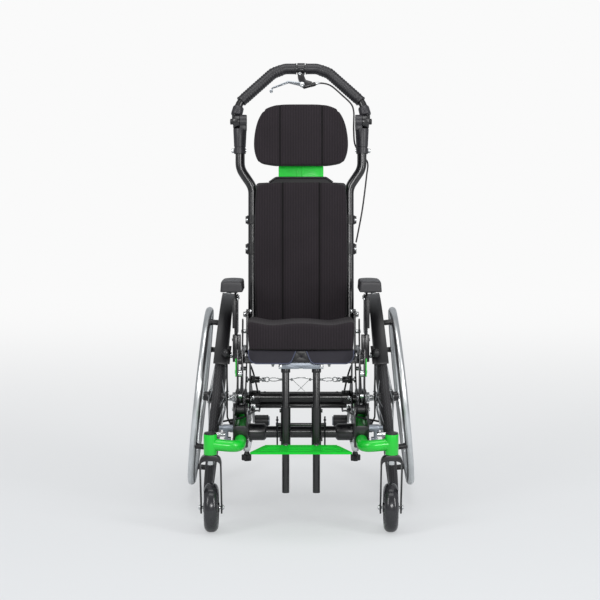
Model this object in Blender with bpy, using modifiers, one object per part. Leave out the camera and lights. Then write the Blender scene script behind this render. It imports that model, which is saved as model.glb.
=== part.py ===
"""Pediatric tilt wheelchair, modelled in metres with +Z up.

The chair faces -Y, so the user's left side is +X. The origin is on the floor,
under the middle of the chair. Three nested frames lean back: the seat on its
rockers, the back on its hinge and the push bar on its knuckles.
"""

import math

import bmesh
import bpy
from mathutils import Matrix, Vector

# Base and rear wheels
CAMBER = math.radians(6)
WHEEL_RADIUS = 0.275
TYRE_MINOR = 0.0125
WHEEL_X = 0.229
AXLE_Y = 0.090
AXLE_Z = TYRE_MINOR + (WHEEL_RADIUS - TYRE_MINOR) * math.cos(CAMBER)
WHEEL_STEPS = 28
SPOKES = 24
RIM_INNER = 0.239
RIM_OUTER = 0.251
RIM_HALF = 0.0095
FLANGE_RADIUS = 0.022
FLANGE_X = 0.024
HUB_IN = -0.028
HUB_OUT = 0.040
AXLE_RADIUS = 0.0063
HANDRIM_MAJOR = 0.236
HANDRIM_MINOR = 0.0105
HANDRIM_X = 0.048
HANDRIM_TABS = 4
TAB_FIRST = math.radians(22.5)
TAB_RADIUS = 0.2415

SIDE_X = 0.157
SIDE_Z = 0.232
SIDE_RADIUS = 0.015
SIDE_REAR = 0.165
CROSSBAR_Y = -0.140
CROSSBAR_Z = 0.226
CROSSBAR_RADIUS = 0.0155
SLEEVE_RADIUS = 0.0225
PLATE_IN = 0.1377
PLATE_OUT = 0.1763
PLATE_WALL = 0.004
CRADLE_FLOOR = 0.2127
LOCK_ARM_Y = -0.205
LOCK_ARM_Z = 0.250
PEDAL_Y = 0.112
PEDAL_Z = 0.235
KNOB_X = 0.144
KNOB_DROP = 0.019

# Casters
CASTER_X = 0.2315
STEM_Y = -0.350
CASTER_RADIUS = 0.0635
CASTER_TRAIL = 0.040
HOUSING_LOW = 0.213
HOUSING_HIGH = 0.266
HOUSING_RADIUS = 0.017
FORK_HALF = 0.0285
FORK_WALL = 0.004

# Seat on its rockers: everything below is measured from the tilt centre
TILT_Y = -0.080
TILT_Z = 0.620
SEAT_TILT = math.radians(5)
ROCKER_OUTER = 0.340
ROCKER_INNER = 0.316
ROCKER_IN = 0.1490
ROCKER_OUT = 0.1656
ROCKER_IN_WALL = 0.0035
ROCKER_OUT_WALL = 0.0044
ROCKER_FROM = math.radians(-33)
ROCKER_TO = math.radians(68)
ROLLER_RADIUS = 0.0125
ROLLER_ANGLE = math.radians(-28)
GLIDE_ANGLE = math.radians(17)
LOCK_ANGLE = math.radians(27)
LOCK_RADIUS = 0.328
RAIL_Z = -0.1975
RAIL_RADIUS = 0.0075
RAIL_FRONT = -0.172
RAIL_REAR = 0.268
PAN_TOP = -0.2053
CUSHION_HALF = 0.141
CUSHION_FRONT = -0.168
CUSHION_REAR = 0.048
CUSHION_LOW = -0.168
CUSHION_HIGH = -0.102
FOOT_TUBE_X = 0.040
FOOT_TUBE_Y = -0.125
FOOT_TUBE_RADIUS = 0.0095
FOOTPLATE_HINGE_Y = -0.1445
FOOTPLATE_Z = -0.420
FOOTPLATE_DEPTH = 0.140

# Back: measured from the back hinge, with the canes upright
BACK_Y = 0.125
BACK_Z = -0.095
RECLINE = math.radians(5)
CANE_X = 0.131
CANE_RADIUS = 0.0127
CANE_TOP_X = 0.166
CANE_TOP = 0.497
KNUCKLE_Z = 0.5255
BACK_HALF = 0.1295
BACK_LOW = -0.040
BACK_TOP = 0.362
SHELL_FRONT = -0.0205
SHELL_BACK = -0.0165
HEAD_PIVOT_Y = -0.008
HEAD_PIVOT_Z = 0.487
HEAD_HALF = 0.1345
HEAD_HALF_TALL = 0.0865

# Push bar: measured from the knuckle axis, with the arch upright
BAR_LEAN = math.radians(15)
BAR_RADIUS = 0.0105
BAR_TOP = 0.1556
GRIP_RADIUS = 0.0150
LUG_FROM = 0.1669
LUG_TO = 0.185
KNUCKLE_RADIUS = 0.019
LEVER_X = 0.003
LEVER_Z = 0.105

GAP = 0.0003
CHAIR_Y = 0.0176
SIDES = ((1, "left"), (-1, "right"))


def clear_scene():
    for obj in list(bpy.data.objects):
        bpy.data.objects.remove(obj, do_unlink=True)


clear_scene()
parts = bpy.data.collections.new("pediatric_wheelchair")
bpy.context.scene.collection.children.link(parts)


def paint(name, rgb, roughness, metallic=0.0):
    """A Principled material of one colour."""
    material = bpy.data.materials.new(name)
    material.use_nodes = True
    shader = material.node_tree.nodes["Principled BSDF"]
    shader.inputs["Base Color"].default_value = (*rgb, 1.0)
    shader.inputs["Roughness"].default_value = roughness
    shader.inputs["Metallic"].default_value = metallic
    material.diffuse_color = (*rgb, 1.0)
    return material


GREEN = paint("green_powder_coat", (0.02, 0.53, 0.05), 0.35)
BLACK = paint("black_powder_coat", (0.015, 0.015, 0.017), 0.4)
PLASTIC = paint("black_moulded_plastic", (0.02, 0.02, 0.023), 0.5)
RUBBER = paint("black_rubber", (0.018, 0.018, 0.02), 0.75)
FABRIC = paint("black_upholstery", (0.02, 0.018, 0.022), 0.95)
STEEL = paint("zinc_plated_steel", (0.6, 0.6, 0.58), 0.3, 1.0)
ANODISED = paint("silver_anodised_aluminium", (0.55, 0.57, 0.57), 0.4, 1.0)


# Small modelling helpers


def mesh_object(name, mesh):
    obj = bpy.data.objects.new(name, mesh)
    parts.objects.link(obj)
    return obj


def from_bmesh(build):
    """A mesh object that the given function fills."""
    bm = bmesh.new()
    build(bm)
    bmesh.ops.recalc_face_normals(bm, faces=bm.faces)
    mesh = bpy.data.meshes.new("piece")
    bm.to_mesh(mesh)
    bm.free()
    return mesh_object("piece", mesh)


def baked(obj, merge=1e-6):
    """The object as its modifiers or curve settings show it, welded into one plain mesh."""
    bpy.context.view_layer.update()
    depsgraph = bpy.context.evaluated_depsgraph_get()
    mesh = bpy.data.meshes.new_from_object(obj.evaluated_get(depsgraph))
    bm = bmesh.new()
    bm.from_mesh(mesh)
    bm.transform(obj.matrix_world)
    bmesh.ops.remove_doubles(bm, verts=bm.verts, dist=merge)
    bmesh.ops.recalc_face_normals(bm, faces=bm.faces)
    bm.to_mesh(mesh)
    bm.free()
    bpy.data.objects.remove(obj, do_unlink=True)
    return mesh_object("piece", mesh)


def boolean(obj, other, operation):
    modifier = obj.modifiers.new(operation.lower(), "BOOLEAN")
    modifier.operation = operation
    modifier.solver = "EXACT"
    modifier.object = other
    result = baked(obj)
    bpy.data.objects.remove(other, do_unlink=True)
    return result


def fuse(*pieces):
    """One body from pieces that run into each other."""
    body = pieces[0]
    for piece in pieces[1:]:
        body = boolean(body, piece, "UNION")
    return body


def cut(body, *cutters):
    for cutter in cutters:
        body = boolean(body, cutter, "DIFFERENCE")
    return body


def moved(obj, matrix):
    obj.data.transform(matrix)
    if matrix.determinant() < 0:
        obj.data.flip_normals()
    return obj


def box(low, high, bevel=0.0):
    """A block between two corners, with rounded edges if bevel is given."""
    low, high = Vector(low), Vector(high)

    def build(bm):
        size = Matrix.Diagonal((*(high - low), 1.0))
        bmesh.ops.create_cube(bm, size=1.0, matrix=Matrix.Translation((low + high) / 2) @ size)

    obj = from_bmesh(build)
    if bevel:
        modifier = obj.modifiers.new("round", "BEVEL")
        modifier.width = bevel
        modifier.segments = 1
        obj = baked(obj)
    return obj


TURN = {
    "X": Matrix.Rotation(math.radians(90), 4, "Y"),
    "Y": Matrix.Rotation(math.radians(-90), 4, "X"),
    "Z": Matrix.Identity(4),
}


def boxes(corners):
    """Several separate blocks in one object, to cut with in one go."""

    def build(bm):
        for low, high in corners:
            low, high = Vector(low), Vector(high)
            size = Matrix.Diagonal((*(high - low), 1.0))
            bmesh.ops.create_cube(bm, size=1.0, matrix=Matrix.Translation((low + high) / 2) @ size)

    return from_bmesh(build)


def facets(radius):
    """Sides enough for a round bar of this radius."""
    return 8 if radius < 0.012 else 10 if radius < 0.018 else 12


def rod(start, length, radius, along="X", sides=None, end_radius=None):
    """A round bar or cone that runs the given length along an axis from its start point."""
    end_radius = radius if end_radius is None else end_radius
    sides = sides or facets(radius)

    def build(bm):
        place = Matrix.Translation(start) @ TURN[along] @ Matrix.Translation((0, 0, length / 2))
        bmesh.ops.create_cone(
            bm, cap_ends=True, segments=sides, radius1=radius, radius2=end_radius, depth=length, matrix=place
        )

    return from_bmesh(build)


def clearance(radius):
    """Bore that a faceted pin of this radius can turn in."""
    return radius / math.cos(math.pi / 8) + 0.0002


def bar(x_from, x_to, y, z, radius, sides=None):
    """A round bar along X between two x values, in either order."""
    return rod((min(x_from, x_to), y, z), abs(x_to - x_from), radius, "X", sides)


def turned(profile, steps, closed=False):
    """A body turned about X from (radius, x) points, with a ring of points at the very bottom."""
    mesh = bpy.data.meshes.new("profile")
    points = [(radius, 0.0, height) for radius, height in profile]
    edges = [(i, i + 1) for i in range(len(points) - 1)]
    if closed:
        edges.append((len(points) - 1, 0))
    mesh.from_pydata(points, edges, [])
    obj = mesh_object("profile", mesh)
    screw = obj.modifiers.new("turn", "SCREW")
    screw.axis = "Z"
    screw.steps = steps
    screw.render_steps = steps
    screw.use_merge_vertices = True
    screw.merge_threshold = 0.00001
    return moved(baked(obj), TURN["X"])


def arc(centre, radius, start, end, steps):
    """Points on a circle, angles in radians from the first axis."""
    step = (end - start) / steps
    return [
        (centre[0] + radius * math.cos(start + i * step), centre[1] + radius * math.sin(start + i * step))
        for i in range(steps + 1)
    ]


def rounded(points, radius, steps=2, closed=True):
    """A path whose corners are replaced by arcs of about the given radius."""
    points = [Vector(p) for p in points]
    out = []
    count = len(points)
    for i, corner in enumerate(points):
        if not closed and i in (0, count - 1):
            out.append(corner)
            continue
        before, after = points[i - 1], points[(i + 1) % count]
        to_before, to_after = (before - corner), (after - corner)
        angle = to_before.angle(to_after)
        reach = min(radius / math.tan(angle / 2), to_before.length * 0.49, to_after.length * 0.49)
        first = corner + to_before.normalized() * reach
        last = corner + to_after.normalized() * reach
        for k in range(steps + 1):
            t = k / steps
            out.append(first * (1 - t) ** 2 + corner * 2 * t * (1 - t) + last * t * t)
    return out


PLANES = {
    "XY": Matrix.Identity(4),
    "XZ": Matrix(((1, 0, 0, 0), (0, 0, -1, 0), (0, 1, 0, 0), (0, 0, 0, 1))),
    "YZ": Matrix(((0, 0, 1, 0), (1, 0, 0, 0), (0, 1, 0, 0), (0, 0, 0, 1))),
}


def slab(outline, plane, low, high, holes=()):
    """A flat outline in a plane, filled and given thickness from low to high along the third axis."""
    curve = bpy.data.curves.new("outline", "CURVE")
    curve.dimensions = "2D"
    curve.fill_mode = "BOTH"
    curve.extrude = (high - low) / 2
    for ring in (outline, *holes):
        spline = curve.splines.new("POLY")
        spline.points.add(len(ring) - 1)
        for point, place in zip(spline.points, ring):
            point.co = (place[0], place[1], 0.0, 1.0)
        spline.use_cyclic_u = True
    obj = bpy.data.objects.new("outline", curve)
    parts.objects.link(obj)
    middle = (low + high) / 2
    if plane == "XZ":
        middle = -middle
    obj.matrix_world = PLANES[plane] @ Matrix.Translation((0, 0, middle))
    return baked(obj)


def tube_curve(name, paths, radius, resolution=2):
    """Round tubes along lists of points, each closed by its caps."""
    curve = bpy.data.curves.new(name, "CURVE")
    curve.dimensions = "3D"
    curve.bevel_depth = radius
    curve.bevel_resolution = resolution
    curve.use_fill_caps = True
    for path in paths:
        spline = curve.splines.new("POLY")
        spline.points.add(len(path) - 1)
        for point, place in zip(spline.points, path):
            point.co = (*place[:3], 1.0)
            if len(place) == 4:
                point.radius = place[3]
    obj = bpy.data.objects.new(name, curve)
    parts.objects.link(obj)
    return obj


def tube(path, radius, resolution=2):
    return baked(tube_curve("tube", [path], radius, resolution))


def smooth_route(points, spacing):
    """Evenly spaced points on a smooth curve through the given ones."""
    points = [Vector(p) for p in points]
    ends = [points[0] * 2 - points[1], *points, points[-1] * 2 - points[-2]]
    fine = []
    for i in range(1, len(ends) - 2):
        a, b, c, d = ends[i - 1 : i + 3]
        for k in range(24):
            t = k / 24
            square, cube = a * 2 - b * 5 + c * 4 - d, b * 3 - a - c * 3 + d
            fine.append((b * 2 + (c - a) * t + square * t * t + cube * t**3) / 2)
    fine.append(points[-1])
    total = sum((q - p).length for p, q in zip(fine, fine[1:]))
    count = max(2, round(total / spacing))
    out, run, target = [fine[0]], 0.0, total / count
    for p, q in zip(fine, fine[1:]):
        length = (q - p).length
        while run + length >= target * len(out) - 1e-9 and len(out) < count:
            out.append(p.lerp(q, (target * len(out) - run) / length))
        run += length
    out.append(fine[-1])
    return out


def frame(name, parent, location, lean=0.0):
    """An empty on a joint: pieces in it are modelled as if it stood upright."""
    obj = bpy.data.objects.new(name, None)
    obj.empty_display_size = 0.05
    parts.objects.link(obj)
    obj.parent = parent or chair
    obj.location = location
    obj.rotation_euler = (-lean, 0.0, 0.0)
    return obj


def finish(obj, name, material, parent=None, smooth=True):
    """Names a body, paints it and hangs it in its frame."""
    obj.name = name
    obj.data.name = name
    obj.data.materials.clear()
    obj.data.materials.append(material)
    if smooth and obj.type == "MESH":
        obj.data.shade_smooth()
        obj.data.set_sharp_from_angle(angle=math.radians(35))
    obj.parent = parent or chair
    return obj


def on_circle(radius, angle):
    """A point below the tilt centre: angle 0 straight down, positive to the rear."""
    return (radius * math.sin(angle), -radius * math.cos(angle))


# The frames that the moving pieces hang in

chair = bpy.data.objects.new("chair_origin", None)
chair.location = (0.0, CHAIR_Y, 0.0)
parts.objects.link(chair)
seat = frame("seat_tilt_pivot", None, (0, TILT_Y, TILT_Z), lean=SEAT_TILT)
back = frame("back_hinge_pivot", seat, (0, BACK_Y, BACK_Z), lean=RECLINE)
bar_pivot = frame("push_bar_pivot", back, (0, 0, KNUCKLE_Z), lean=BAR_LEAN)


# Base frame: caster housing, swept arm and side tube are one welded tube


def base_frame(side, name):
    stem_x = side * CASTER_X
    side_x = side * SIDE_X
    path = [(stem_x, STEM_Y, 0.2395), (side_x, STEM_Y - 0.002, SIDE_Z), (side_x, SIDE_REAR, SIDE_Z)]
    arm = tube(rounded(path, 0.045, 4, closed=False), SIDE_RADIUS, 2)
    housing = rod((stem_x, STEM_Y, HOUSING_LOW), HOUSING_HIGH - HOUSING_LOW, HOUSING_RADIUS, "Z")
    bore = rod((stem_x, STEM_Y, HOUSING_LOW - 0.01), 0.10, 0.0095, "Z")
    body = cut(fuse(housing, arm), bore)
    return finish(body, f"base_frame_{name}", GREEN)


def lower_crossbar():
    reach = PLATE_IN - GAP
    pieces = [bar(-0.130, 0.130, CROSSBAR_Y, CROSSBAR_Z, CROSSBAR_RADIUS)]
    for side, _ in SIDES:
        end = [(0.010, 0.092), (0.0175, 0.092), (SLEEVE_RADIUS, 0.097)]
        profile = [*end, (SLEEVE_RADIUS, reach), (0.010, reach)]
        sleeve = turned([(radius, side * x) for radius, x in profile], 16, closed=True)
        pieces.append(moved(sleeve, Matrix.Translation((0, CROSSBAR_Y, CROSSBAR_Z))))
    return finish(fuse(*pieces), "lower_crossbar", BLACK)


def camber_tube():
    """Cross beam with its stiffener, axle plugs, lock nuts and the two angled axles."""
    reach = PLATE_IN - GAP
    body = bar(-reach, reach, AXLE_Y, AXLE_Z, 0.016)
    body = fuse(body, bar(-0.126, 0.126, AXLE_Y - 0.004, AXLE_Z - 0.0215, 0.008))
    for side, _ in SIDES:
        collar = bar(side * 0.112, side * reach, AXLE_Y, AXLE_Z, 0.0195)
        plug = bar(side * 0.130, side * 0.182, AXLE_Y, AXLE_Z, 0.0123)
        nut = bar(side * 0.1809, side * 0.1895, AXLE_Y, AXLE_Z, 0.0146, 6)
        thread = bar(side * 0.1880, side * 0.1985, AXLE_Y, AXLE_Z, 0.0076)
        shaft = bar(side * -0.050, side * (HUB_OUT + 0.001), 0, 0, AXLE_RADIUS)
        head = bar(side * (HUB_OUT + 0.0005), side * (HUB_OUT + 0.0035), 0, 0, 0.0095)
        well = bar(side * (HUB_OUT - 0.012), side * (HUB_OUT + 0.01), 0, 0, 0.0046)
        axle = moved(cut(fuse(shaft, head), well), wheel_place(side))
        body = fuse(body, collar, plug, nut, thread, axle)
    return finish(body, "camber_tube", BLACK)


def wheel_place(side):
    return Matrix.Translation((side * WHEEL_X, AXLE_Y, AXLE_Z)) @ Matrix.Rotation(-side * CAMBER, 4, "Y")


def cradle(side, name):
    """Channel on the side tube that carries the rocker.

    In front are the roller pin, the saddle wall round the tube and the knob bracket; behind are
    the glide, the lock guide in a raised inner cheek, and the block that holds the axle plug.
    """
    outline = [
        (-0.275, CRADLE_FLOOR),
        (-0.268, 0.300),
        (-0.262, 0.318),
        (-0.2456, 0.326),
        (-0.230, 0.318),
        (-0.221, 0.295),
        (-0.190, 0.262),
        (-0.020, 0.262),
        (0.002, 0.287),
        (0.046, 0.336),
        (0.058, 0.342),
        (0.080, 0.342),
        (0.094, 0.330),
        (0.126, 0.270),
        (0.126, CRADLE_FLOOR),
    ]
    low, high = sorted((side * PLATE_IN, side * PLATE_OUT))
    body = slab(outline, "YZ", low, high)
    wall_in = side * (PLATE_IN + PLATE_WALL)
    wall_out = side * (PLATE_OUT - PLATE_WALL)
    inner_low, inner_high = sorted((wall_in, wall_out))
    channel = box((inner_low, -0.3, SIDE_Z - SIDE_RADIUS - GAP), (inner_high, 0.2, 0.4))
    body = cut(body, channel)
    overlap = side * 0.001
    roller_y, roller_z = roller_centre()
    glide_y, glide_z = on_circle(ROCKER_OUTER + GAP + 0.0128, GLIDE_ANGLE)
    body = fuse(
        body,
        bar(wall_in - overlap, wall_out + overlap, roller_y, roller_z, 0.004),
        bar(wall_in - overlap, wall_out + overlap, TILT_Y + glide_y, TILT_Z + glide_z, 0.0128),
        raised_cheek(side),
        bar(side * 0.112, side * PLATE_IN + overlap, *lock_centre(), 0.009),
        bar(side * (PLATE_OUT - 0.001), side * 0.1985, LOCK_ARM_Y, LOCK_ARM_Z, 0.004),
        bar(side * 0.127, side * PLATE_IN + overlap, PEDAL_Y, PEDAL_Z, 0.004),
        sided_box(side, (0.1382, -0.2745, 0.2130), (0.1758, -0.2690, 0.2700)),
        sided_box(side, (0.1490, AXLE_Y - 0.016, 0.2480), (0.1800, AXLE_Y + 0.016, 0.2955)),
        sided_box(side, (0.1755, AXLE_Y - 0.015, 0.2300), (0.1805, AXLE_Y + 0.015, 0.2950)),
        knob_bracket(side),
    )
    body = cut(
        body,
        bar(side * 0.10, side * (PLATE_IN + 0.006), *lock_centre(), 0.0044),
        bar(side * 0.12, side * 0.19, AXLE_Y, AXLE_Z, 0.0127),
        rod((side * SIDE_X, -0.290, SIDE_Z), 0.030, SIDE_RADIUS + 0.0009, "Y", 16),
        rod((side * KNOB_X, CROSSBAR_Y, CRADLE_FLOOR - 0.045), 0.030, clearance(0.0050), "Z"),
    )
    return finish(body, f"cradle_{name}", BLACK)


def raised_cheek(side):
    """Upper part of the inner cheek, round the guide of the tilt lock."""
    low, high = sorted((side * (PLATE_IN + 0.0002), side * (PLATE_IN + PLATE_WALL - 0.0002)))
    outline = [(0.040, 0.322), (0.051, 0.378), (0.058, 0.385), (0.079, 0.385), (0.086, 0.378), (0.096, 0.318)]
    return slab(outline, "YZ", low, high)


def knob_bracket(side):
    """Tapered bracket under the cradle floor that the clamp knob screws into."""
    outline = [
        (0.1290, 0.2020),
        (0.1383, 0.2020),
        (0.1383, 0.2137),
        (0.1560, 0.2137),
        (0.1560, 0.2020),
        (0.1525, 0.1760),
        (0.1355, 0.1760),
    ]
    return slab([(side * x, z) for x, z in outline], "XZ", CROSSBAR_Y - 0.012, CROSSBAR_Y + 0.012)


def sided_box(side, low, high, bevel=0.0):
    """A block given for the left side, on whichever side is being built."""
    x_low, x_high = sorted((side * low[0], side * high[0]))
    return box((x_low, *low[1:]), (x_high, *high[1:]), bevel)


def roller_centre():
    y, z = on_circle(ROCKER_OUTER + GAP + ROLLER_RADIUS, ROLLER_ANGLE)
    return TILT_Y + y, TILT_Z + z


def lock_centre():
    y, z = on_circle(LOCK_RADIUS, LOCK_ANGLE)
    return TILT_Y + y, TILT_Z + z


def fender(side, name):
    """Mudguard over the tyre with its inner skirt, front flange, stay, foot and round knob."""

    def band(inner, outer, first=85, last=151, steps=6):
        first, last = math.radians(first), math.radians(last)
        return arc((0, 0), outer, first, last, steps) + arc((0, 0), inner, last, first, steps)

    cover = slab(band(0.2872, 0.290), "YZ", -0.017, 0.017)
    low, high = sorted((side * -0.0168, side * -0.0145))
    skirt = moved(slab(band(0.266, 0.2883), "YZ", low, high), Matrix.Rotation(math.radians(0.6), 4, "X"))
    low, high = sorted((side * -0.0265, side * -0.0160))
    flange = slab(band(0.2869, 0.2897, 140, 150.5, 2), "YZ", low, high)
    shell = moved(fuse(cover, flange, skirt), wheel_place(side))
    route = [(0.186, -0.118, 0.238), (0.1965, -0.120, 0.262), (0.196, -0.128, 0.430), (0.197, -0.131, 0.446)]
    stay = tube(rounded([(side * x, y, z) for x, y, z in route], 0.02, 1, closed=False), 0.0035, 1)
    foot = sided_box(side, (PLATE_OUT + GAP, -0.130, 0.222), (0.189, -0.106, 0.250))
    knob = rod((side * 0.1965, -0.1640, 0.4410), 0.0150, 0.0120, "Y")
    dome = rod((side * 0.1965, -0.1690, 0.4410), 0.0055, 0.0070, "Y", end_radius=0.0118)
    return finish(fuse(shell, stay, foot, knob, dome), f"fender_{name}", PLASTIC)


def brake_cable(side, name):
    """Sheathed cable from the wheel lock, under the camber tube and over to the foot pedal."""
    route = [
        (0.2040, -0.196, 0.2660),
        (0.1850, -0.184, 0.2675),
        (0.1650, -0.172, 0.2690),
        (0.1430, -0.145, 0.2710),
        (0.1230, -0.060, 0.2660),
        (0.1160, 0.030, 0.2480),
        (0.1150, 0.082, 0.2375),
        (0.1150, 0.118, 0.2440),
        (0.1190, 0.134, 0.2720),
        (0.1290, 0.136, 0.3200),
        (0.1390, 0.144, 0.3500),
        (0.1420, 0.164, 0.3420),
        (0.1400, 0.168, 0.3000),
        (0.1350, 0.150, 0.2600),
    ]
    path = smooth_route([(side * x, y, z) for x, y, z in route], 0.025)
    return finish(tube_curve("cable", [path], 0.0025, 1), f"brake_cable_{name}", RUBBER)


# Rear wheels: tyre, laced rim and hub, handrim and quick-release button


def tyre(side, name, axle):
    major = WHEEL_RADIUS - TYRE_MINOR
    around = arc((major, 0), TYRE_MINOR, math.radians(-130), math.radians(130), 6)
    seat_radius = RIM_OUTER + GAP
    profile = [(seat_radius, -0.0078), *around, (seat_radius, 0.0078)]
    return finish(turned(profile, WHEEL_STEPS, closed=True), f"rear_tyre_{name}", RUBBER, axle)


def spoke_lines(side):
    """Crossed spokes that alternate between the hub flanges and pass each other with clearance."""
    lines = []
    for k in range(SPOKES):
        flange = 1 if k % 2 else -1
        lean = 1 if (k // 2) % 2 else -1
        at_rim = math.tau * k / SPOKES
        at_hub = at_rim + lean * math.radians(58)
        hub_radius = FLANGE_RADIUS - 0.003
        hub_x = flange * FLANGE_X + lean * 0.0016
        rim_radius = RIM_INNER + 0.003
        lines.append(
            [
                (hub_x, hub_radius * math.sin(at_hub), hub_radius * math.cos(at_hub)),
                (flange * 0.002, rim_radius * math.sin(at_rim), rim_radius * math.cos(at_rim)),
            ]
        )
    return lines


def laced_wheel(side, name, axle):
    rim = turned(
        [
            (RIM_INNER, -0.004),
            (RIM_INNER, 0.004),
            (RIM_INNER + 0.005, RIM_HALF),
            (RIM_OUTER, RIM_HALF),
            (RIM_OUTER, -RIM_HALF),
            (RIM_INNER + 0.005, -RIM_HALF),
        ],
        WHEEL_STEPS,
        closed=True,
    )
    bore = clearance(AXLE_RADIUS)
    half = FLANGE_X + 0.0035
    hub_profile = [
        (bore, HUB_IN),
        (0.0125, HUB_IN),
        (FLANGE_RADIUS, 0.0035 - half),
        (FLANGE_RADIUS, 0.007 - half),
        (0.013, 0.011 - half),
        (0.013, half - 0.011),
        (FLANGE_RADIUS, half - 0.007),
        (FLANGE_RADIUS, half - 0.0035),
        (0.0135, half + 0.001),
        (0.0125, HUB_OUT),
        (bore, HUB_OUT),
    ]
    hub = turned([(radius, side * x) for radius, x in hub_profile], 10, closed=True)
    spokes = baked(tube_curve("spokes", spoke_lines(side), 0.0011, 0))
    return finish(fuse(rim, spokes, hub), f"rear_wheel_{name}", BLACK, axle)


def handrim(side, name, axle):
    ring = turned(arc((HANDRIM_MAJOR, side * HANDRIM_X), HANDRIM_MINOR, 0, math.tau, 8)[:-1], 28, closed=True)
    for k in range(HANDRIM_TABS):
        angle = TAB_FIRST + math.tau * k / HANDRIM_TABS
        y, z = -TAB_RADIUS * math.sin(angle), TAB_RADIUS * math.cos(angle)
        ring = fuse(ring, bar(side * (RIM_HALF + GAP), side * (HANDRIM_X - 0.002), y, z, 0.0060, 6))
    return finish(ring, f"handrim_{name}", ANODISED, axle)


def axle_button(side, name):
    place = frame(f"axle_button_{name}_slide", None, (0, 0, 0))
    place.matrix_basis = wheel_place(side)
    body = bar(side * (HUB_OUT - 0.0075), side * (HUB_OUT + 0.0075), 0, 0, 0.0042)
    return finish(body, f"axle_button_{name}", STEEL, place)


# Casters


def caster_fork(side, name, stem):
    """Fork with its two raked legs, crown, stem bolt and axle bolt."""
    low, high = 0.0465, 0.2120
    leg = [
        (-0.011, high),
        (-0.012, 0.190),
        (CASTER_TRAIL - 0.009, 0.070),
        (CASTER_TRAIL - 0.009, low + 0.004),
        (CASTER_TRAIL - 0.005, low),
        (CASTER_TRAIL + 0.005, low),
        (CASTER_TRAIL + 0.009, low + 0.004),
        (CASTER_TRAIL + 0.009, 0.070),
        (0.014, 0.190),
        (0.013, high),
    ]
    inner = FORK_HALF - FORK_WALL
    body = slab(leg, "YZ", -FORK_HALF, FORK_HALF)
    arch = [(inner, 0.0), (inner, 0.190), (inner - 0.008, 0.2025)]
    opening = [*arch, *[(-x, z) for x, z in reversed(arch)]]
    shoulder = [(-0.05, 0.216), (-0.05, 0.190), (-FORK_HALF, 0.196), (-0.018, 0.216)]
    for outline in (opening, shoulder, [(-x, z) for x, z in reversed(shoulder)]):
        body = cut(body, slab(outline, "XZ", -0.1, 0.1))
    body = fuse(
        body,
        rod((0, 0, 0.192), 0.0125, 0.0095, "Z", 6),
        rod((0, 0, 0.2035), 0.0565, 0.0062, "Z"),
        bar(-0.0335, 0.0335, CASTER_TRAIL, CASTER_RADIUS, 0.0040),
        bar(FORK_HALF - 0.001, FORK_HALF + 0.0035, CASTER_TRAIL, CASTER_RADIUS, 0.0065, 6),
        bar(0.001 - FORK_HALF, -FORK_HALF - 0.0035, CASTER_TRAIL, CASTER_RADIUS, 0.0065, 6),
    )
    return finish(body, f"caster_fork_{name}", BLACK, stem)


def caster_wheel(side, name, axle):
    hub = [(0.0044, 0.0210), (0.0130, 0.0210), (0.0150, 0.0115)]
    half = [*hub, (0.0410, 0.0115), (0.0470, 0.0185), (CASTER_RADIUS, 0.0080)]
    profile = half + [(radius, -x) for radius, x in reversed(half)]
    return finish(turned(profile, 16, closed=True), f"caster_wheel_{name}", RUBBER, axle)


# Tilt rollers, tilt locks, wheel locks, pedals and clamp knobs on the base


def tilt_roller(side, name, axle):
    inner = PLATE_IN + PLATE_WALL + 0.0005
    outer = PLATE_OUT - PLATE_WALL - 0.0005
    middle = (inner + outer) / 2
    profile = [
        (0.0043, inner),
        (0.0172, inner),
        (0.0172, inner + 0.003),
        (ROLLER_RADIUS, inner + 0.0055),
        (ROLLER_RADIUS, outer - 0.0055),
        (0.0172, outer - 0.003),
        (0.0172, outer),
        (0.0043, outer),
    ]
    body = turned([(radius, side * (x - middle)) for radius, x in profile], 16, closed=True)
    body = moved(body, Matrix.Translation((side * middle, 0, 0)))
    return finish(body, f"tilt_roller_{name}", PLASTIC, axle)


def tilt_lock(side, name, slide):
    """Spring plunger whose pad clamps the rocker, with its pull ring and long link."""
    face = ROCKER_IN - GAP

    def loop(centre_x, half_long, half_wide, thick):
        points = [
            (side * (centre_x + half_long * math.cos(a)), 0.0, half_wide * math.sin(a))
            for a in (math.tau * k / 8 for k in range(8))
        ]
        curve = tube_curve("loop", [points], thick, 0)
        curve.data.splines[0].use_cyclic_u = True
        return baked(curve)

    body = fuse(
        bar(side * (face - 0.003), side * face, 0, 0, 0.0085),
        bar(side * 0.099, side * (face - 0.002), 0, 0, 0.0040),
        bar(side * 0.0975, side * 0.1075, 0, 0, 0.0065),
        loop(0.0930, 0.0062, 0.0062, 0.0014),
        loop(0.0745, 0.0150, 0.0045, 0.0012),
        bar(side * 0.0500, side * 0.0610, 0, 0, 0.0030),
    )
    return finish(body, f"tilt_lock_{name}", STEEL, slide)


def wheel_lock(side, name, pivot):
    """Cast lock beside the saddle: round boss, hanging finger and the shoe that swings onto the tyre."""
    shoe_y, shoe_z = 0.0115, -0.019
    corners = [(-0.010, 0.006), (-0.006, -0.034), (0.004, -0.036), (0.019, -0.021), (0.010, 0.006)]
    arm = rounded(corners, 0.005, 2)
    low, high = sorted((side * 0.1910, side * 0.1985))
    body = fuse(
        slab(arm, "YZ", low, high),
        bar(side * (PLATE_OUT + 0.0005), side * 0.2050, 0, 0, 0.0098),
        bar(side * 0.1950, side * 0.2440, shoe_y, shoe_z, 0.0065),
        bar(side * 0.1840, side * 0.1960, 0, -0.0285, 0.0055),
        bar(side * 0.1960, side * 0.2140, -0.0020, 0.0020, 0.0062),
    )
    body = cut(body, bar(side * 0.17, side * 0.2000, 0, 0, clearance(0.0040)))
    return finish(body, f"wheel_lock_{name}", STEEL, pivot)


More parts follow.
